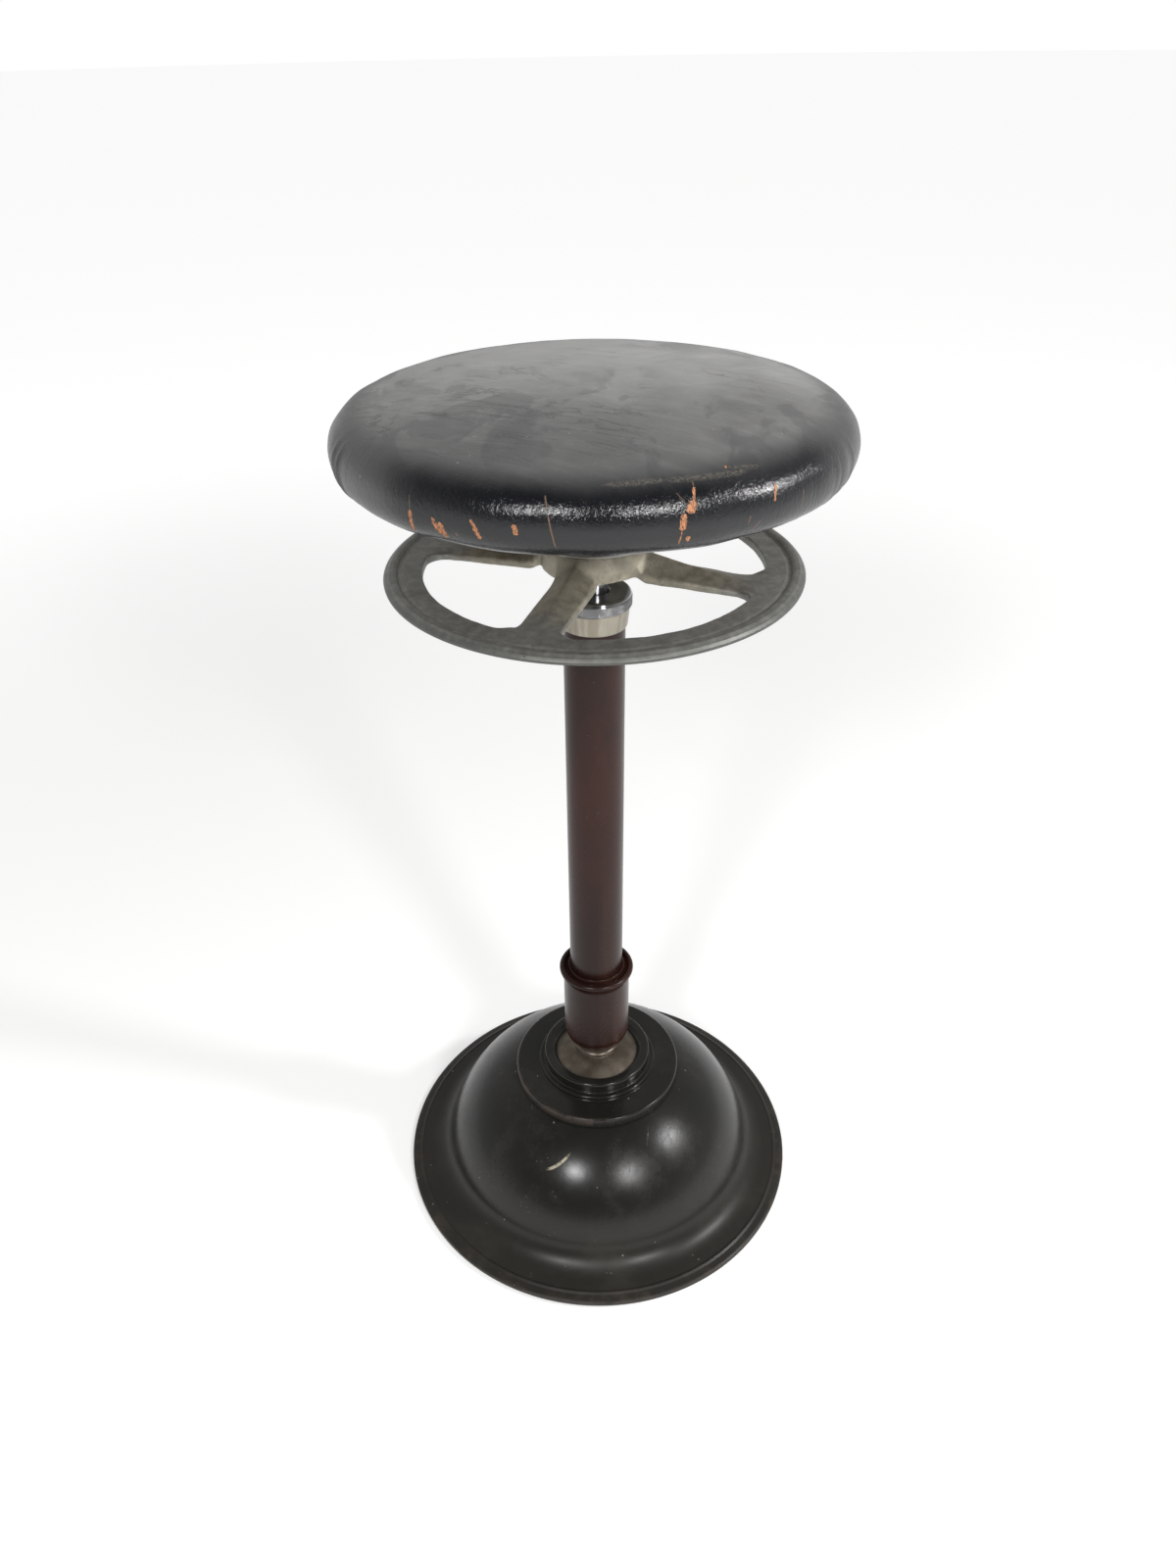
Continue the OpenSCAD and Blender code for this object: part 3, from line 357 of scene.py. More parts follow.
# marks on the leather: azimuth in degrees right of the front, distance down from the crown's centre
# along the surface in mm (145.7 at the shoulder, 180.9 at the widest circle), half width, raggedness
leatherMarks = {
    "tears": [
        (-36.6, 180.5, -37.3, 195.5, 1.5), (-31.4, 182.0, -30.2, 192.5, 1.3),
        (-29.8, 184.0, -29.2, 194.5, 1.9), (-22.9, 179.0, -22.1, 183.0, 0.9),
        (-22.3, 181.5, -21.3, 190.5, 1.3), (-14.5, 179.0, -13.9, 185.0, 1.4),
        (19.2, 161.5, 18.6, 170.0, 0.8), (18.6, 169.0, 17.6, 175.5, 2.3), (16.6, 175.0, 16.2, 184.5, 1.8),
        (16.2, 184.0, 15.9, 194.5, 0.5), (17.6, 188.0, 17.5, 192.0, 1.2), (36.7, 168.5, 35.8, 178.5, 0.8),
        (27.9, 151.4, 27.6, 153.6, 0.9)],
    "cracks": [
        (-9.0, 162.5, -8.2, 172.0, 0.45), (-8.2, 172.0, -6.8, 193.5, 0.5), (19.4, 158.0, 19.1, 163.0, 0.4),
        (15.4, 163.0, 17.4, 172.0, 0.25), (-36.9, 172.0, -36.6, 181.0, 0.3), (30.3, 182.0, 29.9, 188.0, 0.35),
        (33.0, 186.0, 31.0, 195.0, 0.4), (-26.6, 189.0, -26.2, 191.0, 0.7), (44.0, 176.0, 43.6, 190.0, 0.35)],
    "scuffs": [
        (2.0, 156.5, 14.0, 155.5, 1.6), (14.0, 155.8, 32.0, 157.6, 1.8), (28.0, 153.0, 35.0, 156.5, 1.2)],
    "seatR": 160.0, "uvLength": 250.0,  # radius and length that the map "round" stands for
}


def blackLeather(net):
    reach = net.radius()
    around, along, _ = net.split(net.node("ShaderNodeUVMap", settings={"uv_map": "round"}))
    across = around * (2 * pi * leatherMarks["seatR"])  # both in mm on the side of the seat
    along = along * leatherMarks["uvLength"]
    sheet = net.join(across, along, 0.0)

    def stroke(mark, ragged):
        a0, s0, a1, s1, half = mark
        x0, x1 = ((a / 360 + 0.5) * 2 * pi * leatherMarks["seatR"] for a in (a0, a1))
        length = hypot(x1 - x0, s1 - s0)
        ux, uy = (x1 - x0) / length, (s1 - s0) / length
        dx, dy = across - x0, along - s0
        t = (dx * ux + dy * uy) / length * 0.86 + 0.07
        off = abs(dx * uy - dy * ux)
        taper = net.step(t, -0.04, 0.2) * net.step(t, 1.04, 0.8)
        return taper * (1.0 + half + ragged * min(half, 1.0)) - off - 1.0

    ragged = (net.cloud(0.9, 4, 0.75, net.stretch((1.3, 0.45, 1), sheet)) - 0.5) * 3.4
    fine = (net.cloud(2.4, 2, 0.6, sheet) - 0.5) * 1.2

    def union(marks, wobble):
        best = None
        for mark in marks:
            one = stroke(mark, wobble)
            best = one if best is None else net.op("MAXIMUM", best, one)
        return best

    torn = net.step(union(leatherMarks["tears"], ragged), -0.1, 0.25)
    cracked = net.step(union(leatherMarks["cracks"], fine), -0.05, 0.2)
    scuffed = net.step(union(leatherMarks["scuffs"], ragged), -1.2, 1.2)
    scuffed = scuffed * net.patch(0.4, 0.62, 0.6, 4, 0.7, sheet)

    x, y, z = net.split()
    slanted = net.stretch((1, 1, 1), None, (0, 0, 0.5))  # its x runs from the back left to the front right
    clouds = net.cloud(17, 5, 0.6, net.stretch((1.3, 0.9, 1)), 0.4)
    topSide = net.step(reach + clouds * 0.014 + abs(x) * 0.015, 0.1712, 0.146)
    # dusty again at the left, the right and the back
    outward = net.step(abs(x - 0.02) + y * 0.6, 0.036, 0.09)
    # lighter towards the back: dust, with painted sheen of light grazing the top
    back = net.step(y - abs(x) * 0.1 + (clouds - 0.5) * 0.12, -0.165, 0.12)
    rubbed = net.patch(0.51, 0.585, 19, 5, 0.6, net.stretch((1.4, 0.85, 1)), 0.8)
    rubbed = rubbed * net.patch(0.38, 0.56, 7, 2)
    drag = net.cloud(60, 4, 0.68, net.stretch((0.4, 2.0, 1), slanted))  # fine streaks from sitting
    crease = net.cloud(24, 4, 0.6, net.stretch((0.5, 2.3, 1.4), slanted), 0.7)
    ridges = net.step(abs(crease - 0.5), 0.028, 0.0) * net.patch(0.47, 0.58, 9, 2) * topSide
    # the top's grey is dust and painted sheen
    topDustSheen = net.blend(back, (0.094, 0.094, 0.092), (0.405, 0.403, 0.391))
    streaks = net.blend(back, (0.17, 0.169, 0.162), (0.46, 0.455, 0.44))
    topDustSheen = net.blend(net.step(drag, 0.4, 0.7) * 0.35, topDustSheen, streaks)
    topDustSheen = net.blend(rubbed * 0.45, topDustSheen, net.blend(back, (0.058, 0.059, 0.060), (0.185, 0.187, 0.185)))
    hang = net.cloud(0.42, 4, 0.65, net.stretch((1, 0.07, 1), sheet))  # upright streaks on the side
    dusty = outward * (0.6 + net.step(hang, 0.3, 0.7) * 0.16)
    side = net.blend(dusty, (0.0045, 0.0050, 0.0066), (0.082, 0.082, 0.081))
    tone = net.blend(topSide, side, topDustSheen)
    # painted shade along the crease lines
    tone = net.blend(ridges * 0.3, tone, (0.05, 0.05, 0.05))
    flecks = net.step(net.cells(95), 0.075, 0.035) * net.patch(0.5, 0.58, 22, 2)
    tone = net.blend(flecks * 0.6, tone, (0.36, 0.34, 0.29))
    tone = net.blend(scuffed * 0.8, tone, (0.115, 0.102, 0.086))
    tone = net.blend(cracked, tone, (0.13, 0.075, 0.045))
    pulp = net.blend(net.cloud(1.3, 3, 0.7, sheet), (0.30, 0.105, 0.04), (0.58, 0.27, 0.13))
    threads = net.patch(0.51, 0.57, 1.0, 3, 0.75, net.stretch((1.4, 0.35, 1), sheet))
    pulp = net.blend(threads, pulp, (0.03, 0.022, 0.018))
    tone = net.blend(torn, tone, pulp)

    pebble = net.cloud(620, 3, 0.6, net.stretch((1, 1, 0.6)), 0.6)
    fineLines = net.cloud(60, 3, 0.6, net.stretch((0.5, 2.0, 1.4), slanted), 0.9)
    fineLines = net.step(abs(fineLines - 0.5), 0.02, 0.0)
    wrinkle = net.cloud(190, 3, 0.65, net.stretch((1, 1, 0.7)), 1.2)
    under = net.step(z, 0.684, 0.668)
    gloss = 0.15 + topSide * 0.33 + net.cloud(24, 3) * 0.1 + outward * 0.14
    gloss = gloss + torn * 0.5 + cracked * 0.3 + scuffed * 0.2
    shiny = 1.0 - topSide * 0.72
    relief = pebble * 0.8 * shiny + wrinkle * 1.05 * shiny * (1.0 - under * 0.6)
    relief = relief - ridges * 1.3 - fineLines * topSide * 0.16 + drag * topSide * 0.5
    relief = relief + hang * outward * 0.16 - torn * 1.6 - cracked * 1.4
    return net.coat(tone, gloss, relief, 0.0005, 0.62)


slots = {
    blackEnamel: "black_japan", brownEnamel: "brown_enamel", wornIron: "worn_iron",
    castAluminium: "wheel_aluminium", nickelPlate: "nickel", ringSteel: "plain_steel",
    turnedSteel: "spindle_steel", plainSteel: "plain_steel", rawIron: "plain_iron",
    springSteel: "spring_steel", oldBronze: "bronze", ballSteel: "ball_steel", floorRubber: "floor_rubber",
    boardWood: "board_wood", feltStuffing: "pad_fabric", blackLeather: "black_leather",
}
for make, slot in slots.items():
    addFinish(make.__name__, slot, make)
addFinish("tackSteel", "black_steel", plainSteel)
print("materials made:", len(finishes))


# mesh helpers

def paint(node, finish):
    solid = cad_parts[node]
    solid.data.materials.clear()
    solid.data.materials.append(finishes[finish][0])


def dress(name, mesh, finish, body, nodes, soft=32):
    material, slot = finishes[finish]
    mesh.materials.clear()
    mesh.materials.append(material)
    mesh.shade_smooth()
    mesh.set_sharp_from_angle(angle=radians(soft))
    piece = bpy.data.objects.new(name, mesh)
    bpy.context.scene.collection.objects.link(piece)
    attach(piece, body)
    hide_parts(*nodes)
    for node in nodes:  # replaced solids too, so that none is left plain
        paint(node, finish)
    return piece


def addPiece(name, verts, faces, finish, body, nodes, soft=32):
    mesh = bpy.data.meshes.new(name)
    mesh.from_pydata([tuple(v) for v in verts], [], faces)
    work = bmesh.new()
    work.from_mesh(mesh)
    bmesh.ops.remove_doubles(work, verts=work.verts, dist=2e-6)
    bmesh.ops.recalc_face_normals(work, faces=work.faces)
    work.to_mesh(mesh)
    work.free()
    return dress(name, mesh, finish, body, nodes, soft)


def rounded(points, loop=True, parts=5):  # a third number in a point is its fillet
    out = []
    for i, point in enumerate(points):
        p = Vector(point[:2])
        if len(point) < 3 or (not loop and i in (0, len(points) - 1)):
            out.append(p)
            continue
        a = Vector(points[i - 1][:2]) - p
        b = Vector(points[(i + 1) % len(points)][:2]) - p
        cut = min(point[2] / tan(a.angle(b) / 2), 0.48 * a.length, 0.48 * b.length)
        a, b = p + a.normalized() * cut, p + b.normalized() * cut
        for k in range(parts + 1):
            t = k / parts
            out.append((1 - t) ** 2 * a + 2 * t * (1 - t) * p + t * t * b)
    return [tuple(p) for p in out]


def arc(x, z, r, a, b, n=16, rz=None):
    return [(x + r * cos(radians(a + (b - a) * i / n)),
             z + (rz or r) * sin(radians(a + (b - a) * i / n))) for i in range(n + 1)]


def curve(p, q, r, s, n=16):
    p, q, r, s = (Vector(v) for v in (p, q, r, s))
    return [tuple((1 - t) ** 3 * p + 3 * (1 - t) ** 2 * t * q + 3 * (1 - t) * t * t * r + t ** 3 * s)
            for t in (i / n for i in range(n + 1))]


def slope(r, radius):  # the angle at which a circle of this radius reaches r
    return degrees(acos(r / radius))


def stitch(rows, loop, flip=False):  # faces between rings of points; a ring of one point closes a pole
    faces = []
    for low, high in zip(rows, rows[1:] + rows[:1] if loop else rows[1:]):
        for k in range(len(low)):
            j = (k + 1) % len(low)
            face = [low[k], high[k], high[j], low[j]] if flip else [low[k], low[j], high[j], high[k]]
            face = [v for n, v in enumerate(face) if v != face[n - 1]]
            if len(face) > 2:
                faces.append(face)
    return faces


def joined(parts):  # meshes, as points and faces, made one
    start, faces = 0, []
    for points, sides in parts:
        faces += [[v + start for v in side] for side in sides]
        start += len(points)
    return np.concatenate([points for points, _ in parts]), faces


def spun(points, turn):  # about the upright axis, in degrees
    a = radians(turn)
    flat = points[:, :2] @ np.array([[cos(a), sin(a)], [-sin(a), cos(a)]])
    return np.column_stack([flat, points[:, 2]])


def runs(path):  # how far along the path each of its points lies
    return np.r_[0, np.cumsum(np.hypot(*np.diff(np.array(path), axis=0).T))]


def turnMesh(path, steps, loop=True):
    verts, rows = [], []
    for r, z in path:
        if r < 1e-4:
            rows.append([len(verts)] * steps)
            verts.append((0, 0, z * mm))
        else:
            rows.append(list(range(len(verts), len(verts) + steps)))
            angles = [2 * pi * k / steps for k in range(steps)]
            verts += [(r * mm * cos(a), r * mm * sin(a), z * mm) for a in angles]
    return verts, stitch(rows, loop)


def turned(name, points, finish, body, nodes, steps=160, loop=True):
    verts, faces = turnMesh(rounded(points, loop), steps, loop)
    return addPiece(name, verts, faces, finish, body, nodes)


# base: bell, floor ring, socket cap

base = dict(
    rimR=177.6, rimZ=2.0, rimT=4.5, beadR=168.6, beadRise=0.55, skirtZ=9.0,
    sweep=25.9, bellR=139.7, bellB=108.6, bellFoot=10.0, bellTop=102.4, wall=9.0,
    ledgeR=64.1, ledgeZ=97.4, holeR=52.02, holeZ=89.4,
    grooveIn=162.5, grooveOut=174.7, grooveZ=4.0,
    capR=73.4, capZ=112.9, stepR=52.3, stepZ=117.3, lipR=47.3, lipZ=127.9, mouthR=36.5,
    pivotZ=58.0, socketR=75.3, socketFoot=60.82,
)


def makeBase():
    b = Named(**base)
    sweepZ, rimTop = b.skirtZ + b.sweep, b.rimZ + b.rimT
    low, high = 0.0, 45.0
    for _ in range(40):  # where the hollow sweep leaves the bell's oval without a crease
        start = (low + high) / 2
        lean = atan2(sin(radians(start)) * b.bellR, cos(radians(start)) * b.bellB)
        level = b.bellFoot + b.bellB * sin(radians(start)) + b.sweep * sin(lean)
        low, high = (start, high) if level < sweepZ else (low, start)
    sweepX = b.bellR * cos(radians(start)) + b.sweep * cos(lean)
    beadZ = rimTop + (b.skirtZ - rimTop) * (b.rimR - b.beadR) / (b.rimR - sweepX)
    bell = [(b.rimR - 0.7, b.rimZ, 0.7), (b.rimR, b.rimZ + 1.2, 1.2), (b.rimR - 0.1, rimTop - 0.8, 1.4),
            (b.rimR - 2.2, rimTop + 0.2, 1.2), (b.beadR + 2.0, beadZ - 0.35, 0.6),
            (b.beadR, beadZ + b.beadRise + 0.25, 0.8), (b.beadR - 2.0, beadZ + 0.2, 0.8)]
    bell += arc(sweepX, sweepZ, b.sweep, 264, 180 + degrees(lean) + 1, 34)
    bell += arc(0, b.bellFoot, b.bellR, start, slope(b.capR, b.bellR), 70, b.bellB)
    bell += [(b.ledgeR, b.bellTop), (b.ledgeR, b.ledgeZ, 0.4), (b.holeR, b.ledgeZ, 0.6),
             (b.holeR, b.holeZ, 0.8)]
    innerB = b.bellB - b.wall
    top, foot = (degrees(asin((z - b.bellFoot) / innerB)) for z in (b.holeZ, sweepZ))
    bell += arc(0, b.bellFoot, b.bellR - b.wall, top, foot, 26, innerB)
    bell += arc(sweepX, sweepZ, b.sweep + b.wall, 189, 240, 16)
    bell += [(b.grooveIn - 6.9, b.rimZ + 2.5, 1.0), (b.grooveIn - 2.9, b.rimZ, 0.5),
             (b.grooveIn, b.rimZ, 0.2), (b.grooveIn, b.grooveZ), (b.grooveOut, b.grooveZ),
             (b.grooveOut, b.rimZ, 0.2)]
    turned("bellCasting", bell, "blackEnamel", "base", ["bell_base"], 256)
    cap = [(b.capR - 0.7, b.bellTop, 0.5), (b.capR, b.bellTop + 1.0, 0.8), (b.capR, b.capZ, 2.6),
           (b.stepR, b.capZ, 1.3), (b.stepR, b.stepZ, 2.0), (b.lipR, b.stepZ - 0.2, 1.5),
           (b.lipR + 0.1, b.lipZ, 2.6), (b.mouthR + 3.2, b.lipZ - 0.2, 2.4),
           (b.mouthR + 0.1, b.lipZ - 3.6, 0.8)]
    cap += arc(0, b.pivotZ, b.socketR, slope(b.mouthR, b.socketR), slope(b.socketFoot, b.socketR), 20)
    cap += [(b.socketFoot, b.bellTop)]
    turned("socketRing", cap, "blackEnamel", "base", ["socket_cap"], 224)


# column: ball foot, ferrule, tube, collar

column = dict(
    tubeR=22.225, tubeIn=19.025, tubeZ=158.0, tubeTop=556.0, tubeRings=range(180, 550, 30),
    domeR=75.0, domeIn=69.0, domeRim=50.02,  # the last in degrees above the pivot
    waistR=18.6, neckR=17.8, neckZ=139.0, stemR=8.05,
    ferruleZ=144.0, ferruleTop=230.0, ferruleR=28.2, beadR=31.7,
    collarZ=552.0, collarTop=567.0, collarR=23.725, flare=1.6, stopZ=561.0,
    threadR=20.975, threadH=6.7, colletR=17.075, colletTop=14.425,
)


def makeColumn():
    c, pivot = Named(**column), base["pivotZ"]

    def swell(z, height, rise, shares):  # a soft ring round the neck
        return [(c.neckR + rise * sin(pi * t) ** 0.8, z + height * t) for t in shares]

    foot = arc(0, pivot, c.domeIn, slope(c.stemR, c.domeIn), c.domeRim, 30)
    foot += arc(0, pivot, c.domeR, c.domeRim, slope(c.waistR, c.domeR), 40)
    low = pivot + sqrt(c.domeR ** 2 - c.waistR ** 2)
    foot += [(c.neckR + 0.4, low + 0.5, 0.5)]
    foot += swell(low + 0.9, 5.4, 2.3, (0.05, 0.15, 0.3, 0.45, 0.6, 0.75, 0.88, 0.96))
    foot += [(c.neckR + 0.2, c.neckZ, 0.4)] + swell(c.neckZ + 0.3, 4.4, 1.2, (0.1, 0.3, 0.5, 0.7, 0.9))
    foot += [(c.neckR, c.ferruleZ), (c.stemR, c.ferruleZ)]
    turned("ballFoot", foot, "wornIron", "column", ["ball_foot"])

    top, r, bead = c.ferruleTop, c.ferruleR, c.beadR
    beadZ = top - 4.2
    sleeve = [(c.stemR, c.ferruleZ), (c.neckR + 1.0, c.ferruleZ, 0.6)]
    sleeve += arc(c.neckR + 2, c.ferruleZ + 14, r - c.neckR - 2, 276, 360, 20, 14)
    sleeve += [(r, beadZ - 30), (r, beadZ - 9)]
    sleeve += curve((r, beadZ - 7.5), (r + 0.1, beadZ - 4.6), (bead - 1.2, beadZ - 4.6),
                    (bead - 0.5, beadZ - 1.8), 8)[1:]
    sleeve += arc(bead - 3, beadZ, 3, -10, 100, 14)
    sleeve += curve((bead - 4.4, beadZ + 2.2), (bead - 6.2, beadZ - 0.6), (c.tubeR + 2.9, beadZ - 0.6),
                    (c.tubeR + 2.3, beadZ + 2.4), 10)
    sleeve += [(c.tubeR + 1.4, top, 0.7), (c.tubeR + 0.05, top - 0.2, 0.4), (c.tubeR + 0.05, c.tubeZ),
               (c.stemR, c.tubeZ)]
    turned("ferruleSleeve", sleeve, "brownEnamel", "column", ["ferrule"])

    tube = [(c.tubeR, c.tubeZ)] + [(c.tubeR, z) for z in c.tubeRings]
    tube += [(c.tubeR, c.tubeTop, 0.5), (c.tubeIn, c.tubeTop, 0.5), (c.tubeIn, c.tubeZ)]
    turned("columnTube", tube, "brownEnamel", "column", ["column_tube"], 128)

    z, t, r = c.collarZ, c.collarTop, c.collarR
    collar = [(c.tubeR + 0.05, z), (r - 0.1, z, 0.3), (r + 0.1, z + 1.0, 0.5), (r + c.flare, t - 0.2, 0.5),
              (r + c.flare - 1.2, t, 0.2), (c.threadR, t), (c.threadR, t + c.threadH, 0.3),
              (c.colletTop, t + c.threadH), (c.colletR, t), (c.colletR, c.stopZ), (c.tubeR + 0.05, c.stopZ)]
    turned("nickelCollar", collar, "nickelPlate", "column", ["top_collar"])


# pieces grown by geometry nodes

def geometryTree(name, numbers):
    tree = bpy.data.node_groups.new(name, "GeometryNodeTree")
    tree.interface.new_socket("Finish", in_out="INPUT", socket_type="NodeSocketMaterial")
    for key, value in numbers.items():
        kind = "NodeSocketInt" if isinstance(value, int) else "NodeSocketFloat"
        tree.interface.new_socket(key, in_out="INPUT", socket_type=kind).default_value = value
    tree.interface.new_socket("Mesh", in_out="OUTPUT", socket_type="NodeSocketGeometry")
    net = Net(tree)
    given = tree.nodes.new("NodeGroupInput")
    return net, Named(**{key: Wire(net, given.outputs[key]) for key in ["Finish", *numbers]})


def closeTree(net, shape, given):
    shape = net.node("GeometryNodeRealizeInstances", {0: shape})
    shape = net.node("GeometryNodeSetMaterial", {"Geometry": shape, "Material": given.Finish})
    net.node("NodeGroupOutput", {0: shape})


def growPiece(name, net, numbers, finish, body, nodes, soft=50):
    carrier = bpy.data.objects.new(name + "Carrier", bpy.data.meshes.new(name + "Seed"))
    bpy.context.scene.collection.objects.link(carrier)
    modifier = carrier.modifiers.new("grow", "NODES")
    modifier.node_group = net.tree
    values = {"Finish": finishes[finish][0], **numbers}
    for item in net.tree.interface.items_tree:
        if item.in_out == "INPUT" and item.name in values:
            modifier[item.identifier] = values[item.name]
    view = bpy.context.evaluated_depsgraph_get()
    mesh = bpy.data.meshes.new_from_object(carrier.evaluated_get(view))
    bpy.data.objects.remove(carrier)
    return dress(name, mesh, finish, body, nodes, soft)


def barrelTree(name, numbers, lift):
    # a tall grid wrapped round the axis and back down inside; lift gives the outer radius
    # from angle and height, in metres
    net, given = geometryTree(name, numbers)
    grid = net.node("GeometryNodeMeshGrid", {
        "Size X": 1.0, "Size Y": 1.0, "Vertices X": given.Columns, "Vertices Y": given.Rows})
    x, y, _ = net.split(net.node("GeometryNodeInputPosition"))
    angle, row = x * (2 * pi), (y + 0.5) * (given.Rows - 1.0)
    back = net.op("GREATER_THAN", row, given.Rows - 1.5)  # the last row is the first again
    share = row / (given.Rows - 2.0) * (1.0 - back)
    height = given.Low + share * (given.High - given.Low)
    radius = lift(net, given, angle, height)
    ends = net.op("MINIMUM", share, 1.0 - share)
    radius = given.Inner + (radius - given.Inner) * net.op("GREATER_THAN", ends, 1e-5)
    spot = net.join(radius * net.op("COSINE", angle), radius * net.op("SINE", angle), height)
    shape = net.node("GeometryNodeSetPosition", {"Geometry": grid, "Position": spot})
    shape = net.node("GeometryNodeMergeByDistance", {"Geometry": shape, "Distance": 1e-6})
    closeTree(net, shape, given)
    return net


# clamp ring: polished crown on a diamond-knurled band

ring = dict(
    bore=21.075, crownR=26.2, z=567.3, top=577.7, throat=10.5, plateZ=574.0,
    knurlR=26.9, bandTop=574.4, around=132, depth=0.42, rows=6,
)


def makeRing():
    k = Named(**ring)
    numbers = {"Columns": k.around * 8 + 1, "Rows": 56, "Low": k.z * mm, "High": (k.bandTop + 0.1) * mm,
               "Radius": (k.knurlR - k.depth) * mm, "Depth": k.depth * mm, "Inner": (k.crownR - 0.3) * mm,
               "Teeth": float(k.around), "Bands": float(k.rows)}

    def diamonds(net, given, angle, height):
        share = (height - given.Low) / (given.High - given.Low)
        around, up = angle * given.Teeth / (2 * pi), share * given.Bands
        one, two = (net.op("PINGPONG", phase, 0.5) for phase in (around + up, around - up))
        fade = net.step(net.op("MINIMUM", share, 1.0 - share), 0.0, 0.07)
        return given.Radius + given.Depth * (net.op("MINIMUM", one, two) * 2.0) * fade

    band = barrelTree("knurl", numbers, diamonds)
    growPiece("knurledBand", band, numbers, "ringSteel", "clamp", ["knurled_ring"], 60)
    crown = [(k.bore, k.z + 0.2), (k.crownR, k.z + 0.1, 0.2), (k.crownR, k.bandTop + 0.15, 0.2),
             (k.crownR + 0.3, k.bandTop + 0.3, 0.2)]
    crown += arc(k.knurlR - 3.4, k.bandTop + 0.3, 2.75, 8, 88, 14, 3.0)
    crown += [(k.crownR - 3.8, k.top - 0.05, 0.4), (k.throat + 1, k.top - 0.2, 0.5),
              (k.throat, k.top - 1, 0.5), (k.throat, k.plateZ), (k.bore, k.plateZ)]
    turned("ringCrown", crown, "ringSteel", "clamp", ["knurled_ring"])


# spindle: smooth journals and a three-start thread, hidden in the column at rest

spindle = dict(
    r=10.0, root=8.35, lead=12.5, starts=3.0, threadLow=311.0, threadHigh=557.0,
    low=274.0, studR=7.0, hubR=9.0, hubZ=596.5, journalR=8.0, journalZ=610.5, top=660.2,
)


def makeSpindle():
    s = Named(**spindle)
    low, high = s.threadLow, s.threadHigh
    shaft = [(0, s.low), (s.studR - 1, s.low, 0.6), (s.studR, s.low + 1.2, 0.6), (s.studR, low - 1, 0.2),
             (s.r - 0.3, low - 1, 0.4), (s.r - 0.05, low, 0.3), (s.root - 0.05, low + 1.2, 0.3),
             (s.root - 0.05, high - 1.5, 0.3), (s.r - 0.4, high - 0.4, 0.4), (s.r, high + 1, 0.4),
             (s.r, s.hubZ), (s.hubR, s.hubZ), (s.hubR, s.journalZ), (s.journalR, s.journalZ),
             (s.journalR, s.top - 1, 0.7), (s.journalR - 1, s.top, 0.6), (0, s.top)]
    turned("spindleShaft", shaft, "turnedSteel", "spindle", ["screw_spindle"], 96, False)
    numbers = {"Columns": 97, "Rows": 640, "Low": low * mm, "High": high * mm, "Root": s.root * mm,
               "Inner": (s.root - 0.4) * mm, "Depth": (s.r - s.root) * mm, "Lead": s.lead * mm,
               "Starts": s.starts}

    def thread(net, given, angle, height):
        turns = (height / given.Lead - angle / (2 * pi)) * given.Starts
        wave = net.op("PINGPONG", turns, 0.5) * 2.0
        flank = net.step(wave, 0.32, 0.56)
        ends = net.op("MINIMUM", height - given.Low, given.High - height)
        return given.Root + given.Depth * flank * net.step(ends, 0.0, 0.004)

    screw = barrelTree("thread", numbers, thread)
    growPiece("spindleThread", screw, numbers, "turnedSteel", "spindle", ["screw_spindle"], 40)


# hand wheel: four ribbed spokes, dished plate, rolled rim, cupped hub

wheel = dict(
    turn=-18.8, openR=116.4, spokeHalf=14.6, rimCorner=12.0, hubCorner=5.2, hubOpen=35.8,
    innerR=33.0, outerR=121.0,
    plateZ=597.7, plateT=6.5, dish=2.8, dishIn=35.5, underDish=1.7,
    hubZ=596.5, hubTop=615.0, hubR=33.4, flankR=39.5, hubRise=3.4, cupR=32.0, cupZ=605.0,
    boreR=9.05, fillet=10.0, edge=2.0,
    ribH=10.2, ribEnd=112.0, ribHalf=14.0, ribTaper=1.5, ribRound=0.1, ribFillet=2.2,
    ribIn=36.0, droop=2.2, droopIn=34.0, flareR=44.0, filletR=38.0,
    rimR=142.95, rimT=6.11, rimLift=2.0 / 23.5,
    rim=[  # section, from the plate round the bead: inwards of rimR, above plateZ, fillet
        (16.95, 0.0), (13.35, 0.02, 1.5), (11.05, -0.7, 0.8), (9.75, -0.7, 0.6), (8.75, 1.0, 1.2),
        (6.95, 1.65, 1.8), (4.35, 1.5, 1.5), (1.55, -0.3, 2.2), (0.0, -2.1, 1.6), (0.25, -4.2, 1.2),
        (2.15, -4.5, 0.8), (12.95, -5.34)],
    spokeCuts=70, rimCuts=66, hubCuts=30, rings=24, castWave=0.16, castR=142.0,
)


def merge(a, b, k):  # the higher of two surfaces, with a hollow fillet where they meet
    k = np.maximum(k, 1e-6)
    return np.maximum(a, b) + np.maximum(k - np.abs(a - b), 0) ** 2 / (4 * k)


def ramp(value, start, width, most=1):
    return np.clip((value - start) / width, 0, most)


def ease(t):
    return t * t * (3 - 2 * t)


